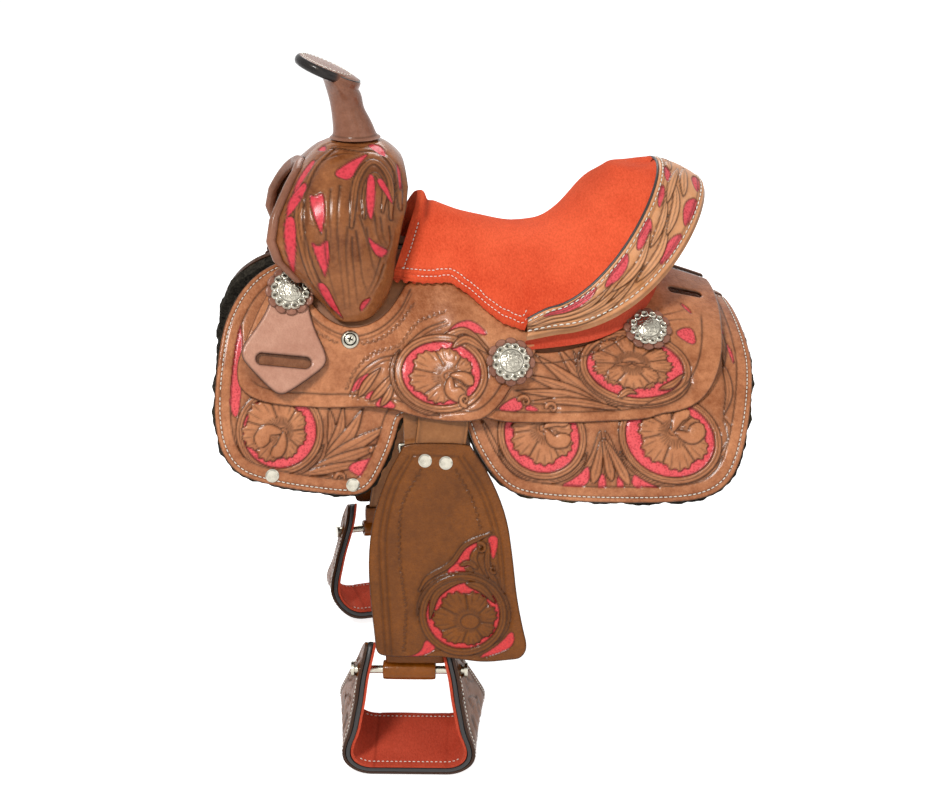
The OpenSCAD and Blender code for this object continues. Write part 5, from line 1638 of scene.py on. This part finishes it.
# Hanging frame at the leather's knuckle: u along the fender's width, y up its length, z out of its face
hangSet = {"x": -47.0, "s": 190.0, "h": 16.8, "turn": -8.0, "lean": 74.0, "knuckle": -5.0, "ply": -2.2,
           "bolt": (-33.0, -250.0, -24.0), "bend": 76.0, "strap": 50.0, "strapThick": 3.6,
           "run": 245.0, "strapFoot": 46.0, "hobble": (55.0, 7.6), "hobbleTall": 21.0}


hangFoot = onBack(hangSet["x"], hangSet["s"], hangSet["h"])
hangFrame = turnedAxes("X", hangSet["lean"]) @ turnedAxes("Z", hangSet["turn"])


def hangPlace(u, y, z):
    return hangFoot + stack(u, y, z) @ hangFrame


# Fenders
fenderSet = {
    "top": -22.0, "long": 214.0, "thick": 4.0, "grid": 1.0,
    "edges": [(0, -36, 25), (0.03, -40, 29), (0.15, -54, 46), (0.33, -67, 62), (0.52, -72, 68),
              (0.7, -70, 72),
              (0.86, -66, 79), (0.91, -65, 82), (0.95, -64, 81), (0.98, -62, 75), (0.985, -61, 66)],
    "foot": [(41, 0.998), (18, 0.985), (-3, 0.972), (-20, 0.976), (-58, 0.975)],
    "lines": [[(-33, 13), (-50, 42), (-59, 76), (-61, 112), (-55, 206)],
              [(-28, 12), (-44, 42), (-53, 76), (-55, 113), (-49, 206)],
              [(15, 14), (34, 44), (47, 78), (53, 110), (58, 186), (43, 208)],
              [(20, 13), (39, 43), (52, 78), (58, 112), (62, 178)],
              [(-28, 12), (15, 13)], [(-9, 201), (16, 204), (43, 208)]],
    "shells": [[(-36, 160), (-42, 112), (-40, 61), (-22, 26)], [(36, 84), (28, 56), (12, 27)],
               [(-38, 204), (-37, 184), (-36, 164)]],
    "arch": [(46, 87), (22, 99), (8, 117), (-14, 131), (-22, 143)],
    "ring": (20, 167), "ringSize": (39, 36.5),
    "red": [[(11, 118), (17, 104), (32, 93), (32, 93), (32, 106), (27, 118)],
            [(44, 92), (53, 91), (52, 102), (49, 112), (46, 102)],
            [(5, 129), (10, 116), (22, 122), (18, 130)],
            [(36, 208), (56, 203), (68, 196), (66, 183), (56, 196)],
            [(-36, 209), (-20, 204), (-17, 192), (-7, 200), (-16, 206)]],
    "stems": [([(55, 150), (38, 130), (30, 112), (36, 99)], 3.6), ([(54, 140), (44, 120), (44, 98)], 2.8),
              ([(18, 118), (26, 116), (33, 121)], 2.6)],
}


def fenderOutline():
    s = fenderSet
    edges = np.array(s["edges"], float)
    right = np.stack([edges[:, 2], edges[:, 0]], -1)
    left = np.stack([edges[:, 1], edges[:, 0]], -1)[edges[:, 0] < 0.97][::-1]
    loop = np.vstack([right, np.array(s["foot"], float), left]) * np.array([1, s["long"]])
    return evenly(rounded(loop, 2), 1.5)


def toolFender(k):
    s = fenderSet
    for path in s["lines"]:
        bow(k, path, 0.9, 0.5, 0.6, False)
    for path in s["shells"]:
        shellLine(k, path, 6.0)
    for points in s["red"]:
        patch(k, points)
    for path, width in s["stems"]:
        blade(k, path, width, "stem", 1.0, 0.7)
    curl(k, (37, 102), 6, 250)
    curl(k, (49, 122), 4, 60, 1.0, 1.6)
    blade(k, s["arch"], 2.6, "stem", 1.0, 0.6)
    rx, ry = s["ringSize"]
    groundDisc(k, s["ring"], (rx - 1, ry - 1))
    ringStem(k, s["ring"], (rx + 5, ry + 4), 4.0, 180, 400)
    ringStem(k, s["ring"], s["ringSize"], 7.0)
    blade(k, [(-12, 172), (-6, 148), (14, 135), (30, 136)], 3.6, "leaf", 0.8)
    blossom(k, (22, 170), (31, 27), 7, 30, (0.16, 0.12), None, 0.3, 0.9)
    blade(k, [(22, 136), (38, 141), (52, 156)], 4.2, "leaf", 1.0, 0.8)
    finishMarks(k)
    k["cut"] *= 0.85


def makeFenders():
    s = fenderSet
    outline = fenderOutline()

    def place(p, q, h):
        return hangPlace(p, s["top"] - q, h)
    piece = panelPiece("fender_left", outline, place, flat(s["thick"]), s["thick"], finishes["fender"],
                       s["grid"], toolFender, (), True)
    dressBoth(piece, "fenderPanel", "fender", "brown_leather", "fender")


# Closed hoops: sections joined in both directions
def hoopPiece(name, sections, finish, fields=None):
    n, m = sections.shape[:2]
    i, j = crossed(np.arange(n), np.arange(m))
    a, b = (i + 1) % n, (j + 1) % m
    quads = np.stack([i * m + j, a * m + j, a * m + b, i * m + b], -1).reshape(-1, 4)
    return meshPiece(name, sections.reshape(-1, 3), [quads], finish, fields)


def softBox(width, thick, count=5, power=0.42):
    # A rounded oblong section: powers of cosine and sine
    a = np.linspace(0, 2 * np.pi, 8 * count, endpoint=False)
    c, s = np.cos(a), np.sin(a)
    return np.stack([np.sign(c) * np.abs(c) ** power * width / 2,
                     np.sign(s) * np.abs(s) ** power * thick / 2], -1)


def makeStraps():
    s = hangSet
    bolt = np.array(s["bolt"])
    knee = np.array([0, s["knuckle"] - s["bend"], s["ply"]])
    lead = unit(bolt - np.array([bolt[0] * s["bend"] / s["run"], knee[1], s["ply"]]))
    straight = np.stack([np.zeros(24), np.linspace(11.0, knee[1], 24), np.full(24, s["ply"])], -1)
    t = np.linspace(0, 1, 30)[1:]
    low = np.stack([0 * t, mix(knee[1], bolt[1] + 4, t), mix(s["ply"], bolt[2] + 0.4, t)], -1)
    centre = np.vstack([straight, low])
    down = np.clip((s["knuckle"] - centre[:, 1]) / s["run"], 0, 1)
    centre[:, 0] = bolt[0] * down
    centre[22:26, 2] -= np.array([0.1, 0.3, 0.3, 0.1])
    along = unit(np.gradient(centre[:, 1:], axis=0))
    out = stack(0, along[:, 1], -along[:, 0])
    wide = mix(s["strap"], s["strapFoot"], down)
    box = softBox(1.0, s["strapThick"])
    ring = centre[:, None] + box[None, :, :1] * wide[:, None, None] * xWay + box[None, :, 1:] * out[:, None]
    edge = 0.8 * smooth((np.abs(box[:, 0]) - 0.475) / 0.02)
    mark = 0.6 * bell(np.abs(box[:, 0]) - 0.42, 0.02)
    strap = ringPiece("strap_left", hangFoot + ring @ hangFrame, finishes["strap"],
                      {"edge": edge, "cut": mark})
    other = mirrored(strap, "strap_right")
    for piece, side in ((strap, "left"), (other, "right")):
        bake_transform(piece)
        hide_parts(f"leather_hanger_{side}", f"leather_lower_{side}")
    # Loop round the stirrup bolt
    turn = around(40)
    box = softBox(52.0, 4.4, 3, 0.35)
    radius = 7.6 + box[None, :, 1]
    spot = bolt + stack(box[None, :, 0] + 0 * turn[:, None], radius * np.cos(turn)[:, None],
                        radius * np.sin(turn)[:, None])
    loop = hoopPiece("strapLoop_left", hangFoot + spot @ hangFrame, finishes["hobble"])
    dressBoth(loop, "strapLoop", "fender", "brown_leather")
    # Hobble: a band round the strap
    middle = bolt - lead * (8.5 + 10.5) + np.array([3.5, 0, 0.4])
    face = unit(np.cross(xWay, -lead))
    band = softBox(*s["hobble"], 8, 0.28)
    section = softBox(3.0, s["hobbleTall"], 3, 0.4)
    grow = unit(band / s["hobble"])
    tallWay = unit(-lead * [0.0, 1, 1])
    bulge = 0.7 * np.cos(np.pi * section[:, 1] / 24)
    flatSpot = band[:, None] + grow[:, None] * (section[None, :, :1] + bulge[None, :, None])
    body = middle + flatSpot[..., :1] * xWay + flatSpot[..., 1:] * face + section[None, :, 1:] * tallWay
    edge = np.broadcast_to(0.6 * smooth((np.abs(section[:, 1]) - 9.6) / 0.8), body.shape[:2])
    hobble = hoopPiece("hobble_left", hangFoot + body @ hangFrame, finishes["hobble"], {"edge": edge})
    dressBoth(hobble, "hobble", "fender", "brown_leather", "hobble_strap")


# Stirrups: layers of one bent strip; d is the distance outside the frame's inner face
stirrupSet = {"tilt": 6.0, "splay": 16.0, "bend": 24.0, "tread": 37.0, "foot": 88.0, "ear": 31.0,
              "half": 42.0, "cover": (5.2, 8.0), "lining": (-2.6, -0.2)}


def stirrupFrame():
    turn = turnedAxes("X", stirrupSet["tilt"] - hangSet["lean"])
    return turn @ hangFrame, hangFoot + np.array(hangSet["bolt"]) @ hangFrame


def stirrupPath(d):
    # Down the right arm, round the bend and along half the tread, then the same on the left
    s = stirrupSet
    r, a = s["bend"] + d, math.radians(s["splay"])
    c = np.array([s["tread"], s["bend"] - s["foot"]])
    rise = (s["ear"] - 0.3 - c[1] - r * math.sin(a)) / math.cos(a)
    start = c + r * np.array([math.cos(a), math.sin(a)])
    up = np.array([-math.sin(a), math.cos(a)])
    arm = start + up * (rise * (1 - np.linspace(0, 1, 44, endpoint=False)))[:, None]
    g = np.linspace(a, -math.pi / 2, 22, endpoint=False)
    bend = c + r * np.stack([np.cos(g), np.sin(g)], -1)
    tread = np.stack([s["tread"] * (1 - np.linspace(0, 1, 16)), np.full(16, c[1] - r)], -1)
    side = np.vstack([arm, bend, tread])
    return np.vstack([side, (side * [-1, 1])[::-1][1:]])


def stirrupGrid(d, across, proud=0.0):
    # Half the depth comes from the height: wide at the tread, drawn in to the ear
    s = stirrupSet
    path = stirrupPath(d)
    w, f, e = s["half"], s["foot"], s["ear"]
    height = np.array([-f - 40, -f * 0.72, -f * 0.5, -f * 0.22, 0, e * 0.6, e * 0.93, e])
    half = np.interp(path[:, 1], height, w * np.array([1, 1, 0.8, 0.56, 0.42, 0.33, 0.2, 0.03]))
    for _ in range(30):
        half[1:-1] = 0.25 * half[:-2] + 0.5 * half[1:-1] + 0.25 * half[2:]
    half = half + proud
    axes, foot = stirrupFrame()
    # The arms turn in a little across the strip
    x, z = path.T
    toe = 0.2 * smooth((z + f) / 45) * mix(1, 0.3, smooth((z + 25) / 40)) * np.sign(x)
    spot = stack(x[:, None] + (toe * half)[:, None] * across, half[:, None] * across, z[:, None])
    return foot + spot @ axes, half


def edgeLine(d, inset, sign, first, last):
    # A stitch line set in from the strip's edge
    path, half = stirrupGrid(d, np.linspace(-1, 1, 81))
    share = sign * (1 - inset / half[first:last])
    at = (share + 1) / 2 * 80
    low = np.clip(at.astype(int), 0, 79)
    rows = np.arange(first, last)
    part = (at - low)[:, None]
    return mix(path[rows, low], path[rows, low + 1], part)


def makeStirrups():
    s = stirrupSet
    across = np.linspace(-1, 1, 27)
    across = np.sign(across) * np.abs(across) ** 0.8
    outerTop, half = stirrupGrid(s["cover"][1], across)
    n = len(half)
    path = stirrupPath(s["cover"][1])
    run = runOf(path)
    far = half[:, None] * (1 - np.abs(across))
    k = newMarks(np.broadcast_to(np.minimum(run, run[-1] - run)[:, None], far.shape),
                 half[:, None] * across)
    groove(k, whole, far.ravel() - 4.0, 0.4, 1.0, 0.5)
    groove(k, whole, far.ravel() - 7.0, 0.3, 0.8, 0.7)
    for shift in (0, 46):
        blade(k, [(16 + shift, -8), (34 + shift, 4), (56 + shift, -2)], 6.0, "leaf", 1.0, 0.7)
        blade(k, [(28 + shift, 12), (44 + shift, 10), (60 + shift, 18)], 4.5, "leaf", 1.0, 0.6)
        blade(k, [(32 + shift, -14), (48 + shift, -14), (62 + shift, -20)], 4.0, "leaf", 1.0, 0.6)
    finishMarks(k)
    inside = stirrupGrid(s["cover"][0], across)[0]
    outside = outerTop + unit(outerTop - inside) * k["lift"].reshape(n, -1, 1)
    fields = markFields(k)
    fields["edge"] = (0.9 * fade(far, 1.6)).ravel()
    cover = slabPiece("stirrupCover_left", outside, inside, finishes["stirrup"], fields)
    dressBoth(cover, "stirrupCover", "stirrup", "brown_leather", "stirrup_cover")
    # The frame's edge is a soft black roll, a little proud of the leather
    out = unit(stirrupGrid(5.0, np.array([0.0]))[0] - stirrupGrid(0.0, np.array([0.0]))[0])[:, 0]
    thick = mix(2.6, 4.6, smooth((run[n // 2] - np.abs(run - run[n // 2])) / 60))
    box = softBox(2.0, 2.0, 4, 0.55)
    ring = stirrupGrid(2.5, box[:, 0], 0.9)[0] + box[None, :, 1:] * (2.6 * out[:, None])
    lip = np.clip((np.abs(box[:, 0]) - 0.9) / 0.1, 0, 1)
    ring = ring + lip[None, :, None] * box[None, :, 1:] * (thick[:, None, None] - 2.6) * out[:, None]
    dressBoth(ringPiece("stirrupFrame_left", ring, finishes["blackEdge"]), "stirrupFrame", "stirrup",
              "brown_leather", "stirrup_frame")
    top, half = stirrupGrid(s["lining"][0], across)
    under = stirrupGrid(s["lining"][1], across)[0]
    inner = stirrupPath(s["lining"][0])
    seam = bell(inner[:, :1] + s["tread"] - 3, 0.9) + bell(inner[:, :1] - s["tread"] + 1, 0.9)
    seam = seam * (inner[:, 1:] < -55) + 0 * far   # as wide as the strip
    stitch = bell(far - 6, 1.2) * 0.5 * (inner[:, 1:] < -70)
    lift = 0.25 * np.sin(inner[:, :1] / 9 + across * 3) - 0.8 * seam - 0.5 * stitch
    raisedTop = top + unit(top - under) * lift[..., None]
    dark = np.clip(0.9 * seam + stitch, 0, 1)
    lining = slabPiece("stirrupLining_left", raisedTop, under, finishes["lining"], {"cut": dark})
    dressBoth(lining, "stirrupLining", "stirrup", "red_suede", "stirrup_lining")
    lines = []
    for sign in (1, -1):
        a = edgeLine(s["cover"][1] + 0.1, 4.0, sign, 14, n - 14)
        lines.append((a, unit(a - edgeLine(0.0, 4.0, sign, 14, n - 14))))
        b = edgeLine(s["lining"][0] - 0.1, 6.0, sign, 58, n - 58)
        lines.append((b, unit(b - edgeLine(2.0, 6.0, sign, 58, n - 58))))
    thread = stitchPiece("stirrupStitch_left", lines, 2.6, 4.4, 0.5)
    dressBoth(thread, "stirrupStitch", "stirrup", "brown_leather")


# Frames on the back's surface: along x, across, outward
def surfaceSpot(x, s, top, lift=0.0):
    p, ahead, below = [onBack(x + dx, s + ds, top(x + dx, s + ds)) for dx, ds in ((0, 0), (1, 0), (0, 1))]
    ex = unit(ahead - p)
    n = unit(np.cross(ahead - p, p - below))
    return ex, np.cross(n, ex), n, p + lift * n


def keeperSpot(turn=0.0, lift=0.0):
    x, s = keeperSet["spot"]
    top, low, _ = slopes(x)
    th = mix(top, low, s / back["depth"]) + math.radians(6.0)
    n = np.array([0, -math.sin(th), math.cos(th)])
    ey = np.cross(n, xWay)
    p = onBack(x, s, layer["bar"] + layer["gap"] + layer["jockey"] + 3.0)
    c, s = math.cos(math.radians(turn)), math.sin(math.radians(turn))
    return c * xWay + s * ey, c * ey - s * xWay, n, p + lift * n


# Latigo keepers
keeperSet = {"side": [(19, -15), (26, -33), (37, -52), (41, -62), (39, -70), (30, -79), (8, -98)],
             "neck": 18.0, "thick": 4.0,
             "spot": (-187.0, 68.0), "slot": (0.0, -68.0), "slotSize": (52.0, 11.0), "hang": -8.0,
             "grid": 1.2}


def makeKeepers():
    s = keeperSet
    side = np.array(s["side"], float)
    a = np.radians(np.arange(0, 181, 15))
    loop = np.vstack([side[::-1], s["neck"] * np.stack([np.cos(a), np.sin(a)], -1), side * [-1, 1],
                      [(0, -101)]])
    outline = evenly(rounded(loop, 2), 1.5)
    ex, ey, n, p = keeperSpot(s["hang"])

    def place(u, v, h):
        return p + stack(u, v, h) @ np.array([ex, ey, n])

    def shade(k):
        # Dark edge round the outline and the slot: dyed edge, widened into painted shade
        k["edge"] = 0.75 * fade(k["d"], 2.2)
        k["lift"] = -0.5 * fade(k["d"], 4.0) ** 2
    piece = panelPiece("keeper_left", outline, place, flat(s["thick"]), s["thick"], finishes["keeper"],
                       s["grid"], shade, [slotLoop(s["slot"], s["slotSize"])])
    dressBoth(piece, "keeperPanel", "keeper", "tan_leather", "latigo_keeper")


# Conchos on rosettes, finishing washers and screws
conchoSet = {"radius": 19.0, "scallops": 12, "ring": 15.2, "rosette": 24.0, "petals": 12,
             "middle": (20, 137), "rear": (157, 98), "lift": 1.3, "keeperLift": 4.4, "rosetteTop": 3.2,
             "washer": (-132, 114)}


def bothSides(spots):
    # Each frame with its mirror image; the mirrored one swaps an axis to stay right handed
    flip = np.array([1, -1, 1])
    return spots + [(ex * flip, -ey * flip, n * flip, p * flip) for ex, ey, n, p in spots]


def makeConchos():
    s = conchoSet
    low, up = [bothSides([keeperSpot(0.0, s["keeperLift"] + rise),
                          surfaceSpot(*s["middle"], overSeat, s["lift"] + rise),
                          surfaceSpot(*s["rear"], overRear, s["lift"] + rise)])
                          for rise in (0.0, s["rosetteTop"])]
    r = s["rosette"]
    profile = [(0.5, 0), (r - 2, 0), (r - 0.4, 0.6), (r, 1.4), (r - 0.4, 2.3), (r - 1.4, 2.8),
               (r - 3, 2.6), (r - 5, 2.2), (r - 8, 2.6), (0.5, 3.0)]

    def petal(radius, angle):
        return 1 - 0.10 * smooth((radius - 12) / 10) * (1 - np.abs(np.cos(s["petals"] / 2 * angle)) ** 0.6)
    angle = around(144)
    gapLine = bell(np.cos(s["petals"] / 2 * angle), 0.22)
    reach = np.array([0, 0, 0, 0.4, 0.8, 1, 1, 1, 0.3, 0])[:, None]
    dark = np.array([0.6, 0.8, 0.8, 0.5, 0.1, 0, 0, 0, 0, 0])[:, None]
    rise = -0.9 * reach * gapLine
    rosettes = turnedPiece("rosetteSet", profile, low, finishes["rosette"], 144, petal,
                           {"cut": 0.75 * reach * gapLine, "edge": dark}, rise)
    dress(rosettes, "saddle", "brown_leather", "rosettes")
    # The concho: a ring of open loops, a roped band and an engraved dome
    rim = s["radius"]
    inward = np.linspace(rim, 0.4, 46)
    radius = np.concatenate([[0.5, rim - 0.8], inward])
    level = np.interp(inward, [0, 6, 11.0, 11.8, 12.4, 18, rim], [5.6, 4.9, 2.6, 1.5, 1.6, 1.3, 0.6])
    base = np.concatenate([[0, 0], level])
    a, rr = angle[None], radius[:, None]
    n = s["scallops"]
    u = ((a * n / (2 * np.pi)) % 1 - 0.5) * (2 * np.pi / n) * s["ring"]
    ring = np.hypot(u, rr - s["ring"])
    onTop = (np.arange(len(radius)) > 2)[:, None]
    loop = bell(ring - 2.6, 0.75)
    hole = bell(ring, 1.3)
    spike = bell(np.abs(u) - np.pi / n * s["ring"], 0.9) * smooth((rr - 12.5) / 2)
    outerBand = smooth((rr - 12.2) / 0.8)
    inDome = smooth((11.4 - rr) / 0.8)
    rope = bell(rr - 12.0, 0.7)
    scroll = bell(rr - 5.2 - 1.7 * np.cos(5 * a + 0.4), 0.45) + bell(rr - 8.3 - 1.3 * np.cos(9 * a), 0.42)
    spoke = bell(np.sin(5 * a + 0.6 * rr) * rr, 2.2) * smooth((9.5 - rr) / 1.0) * 0.6
    engraved = np.clip(scroll + spoke, 0, 1) * inDome
    rise = onTop * (outerBand * (1.1 * loop - 0.7 * hole + 0.3 * spike) + 0.5 * rope - 0.35 * engraved)
    cut = onTop * np.clip(outerBand * (0.7 * hole + 0.3 * (1 - np.clip(loop + spike, 0, 1)))
                          + 0.55 * engraved + 0.8 * bell(rr - 11.4, 0.5), 0, 1)

    def scalloped(radius, angle):
        lobe = np.abs(np.sin(n / 2 * angle)) ** 0.7
        return 1 - 0.10 * smooth((radius - 15) / 4) * (1 - lobe)
    conchos = turnedPiece("conchoSet", np.stack([radius, base], -1), up, finishes["nickel"], 144,
                          scalloped, {"cut": cut}, rise)
    dress(conchos, "saddle", "nickel", "conchos")


def makeScrews():
    s = conchoSet
    spots = bothSides([surfaceSpot(*s["washer"], overSeat, 0.3)])
    profile = [(0.5, 0), (8.6, 0), (9, 0.4), (8.6, 1.2), (7.2, 2.4), (6.4, 2.6), (5.8, 2.0), (5.4, 1.6),
               (0.5, 1.6)]
    dark = np.array([0, 0, 0, 0, 0, 0.1, 0.9, 1, 1])[:, None]
    washer = turnedPiece("washerSet", profile, spots, finishes["nickel"], 64, None, {"cut": dark})
    dress(washer, "saddle", "nickel", "finishing_washers")
    inward = np.linspace(5.0, 0.3, 16)
    radius = np.concatenate([[0.5, 4.8], inward])
    height = np.concatenate([[1.7, 1.7], 2.6 + 1.5 * np.sqrt(1 - (inward / 5.6) ** 2)])
    a = around(64)[None] + 0.35
    rr = radius[:, None]
    arm = np.maximum(np.exp(-(rr * np.sin(a) / 0.6) ** 4),
                     np.exp(-(rr * np.cos(a) / 0.6) ** 4)) * smooth((3.0 - rr) / 0.5)
    arm = arm * (np.arange(len(radius)) > 1)[:, None]
    screw = turnedPiece("screwSet", np.stack([radius, height], -1), spots, finishes["nickel"], 64, None,
                        {"cut": arm}, -0.8 * arm)
    dress(screw, "saddle", "nickel", "jockey_screws")


makeFenders()
makeStraps()
makeStirrups()
makeKeepers()
makeConchos()
makeScrews()
print("fenders, straps, stirrups, keepers and conchos made")

# The frame's own pieces that stay in view or inside
keptFinish = {
    "tree_bar": "wood", "tree_fork": "wood", "tree_cantle": "wood", "ground_seat": "strap",
    "horn_core": "iron",
    "rigging_strap": "strap", "rigging_dee": "nickel", "leather_upper": "strap", "fender_rivets": "nickel",
    "stirrup_bolt": "nickel", "concho_screws": "nickel", "skirt_rivets": "nickel",
}
for piece in [o for o in scene.objects if o.type == "MESH"]:
    for stem, finish in keptFinish.items():
        if piece.name.startswith(stem):
            piece.data.materials.clear()
            piece.data.materials.append(finishes[finish])
print("kept pieces finished")
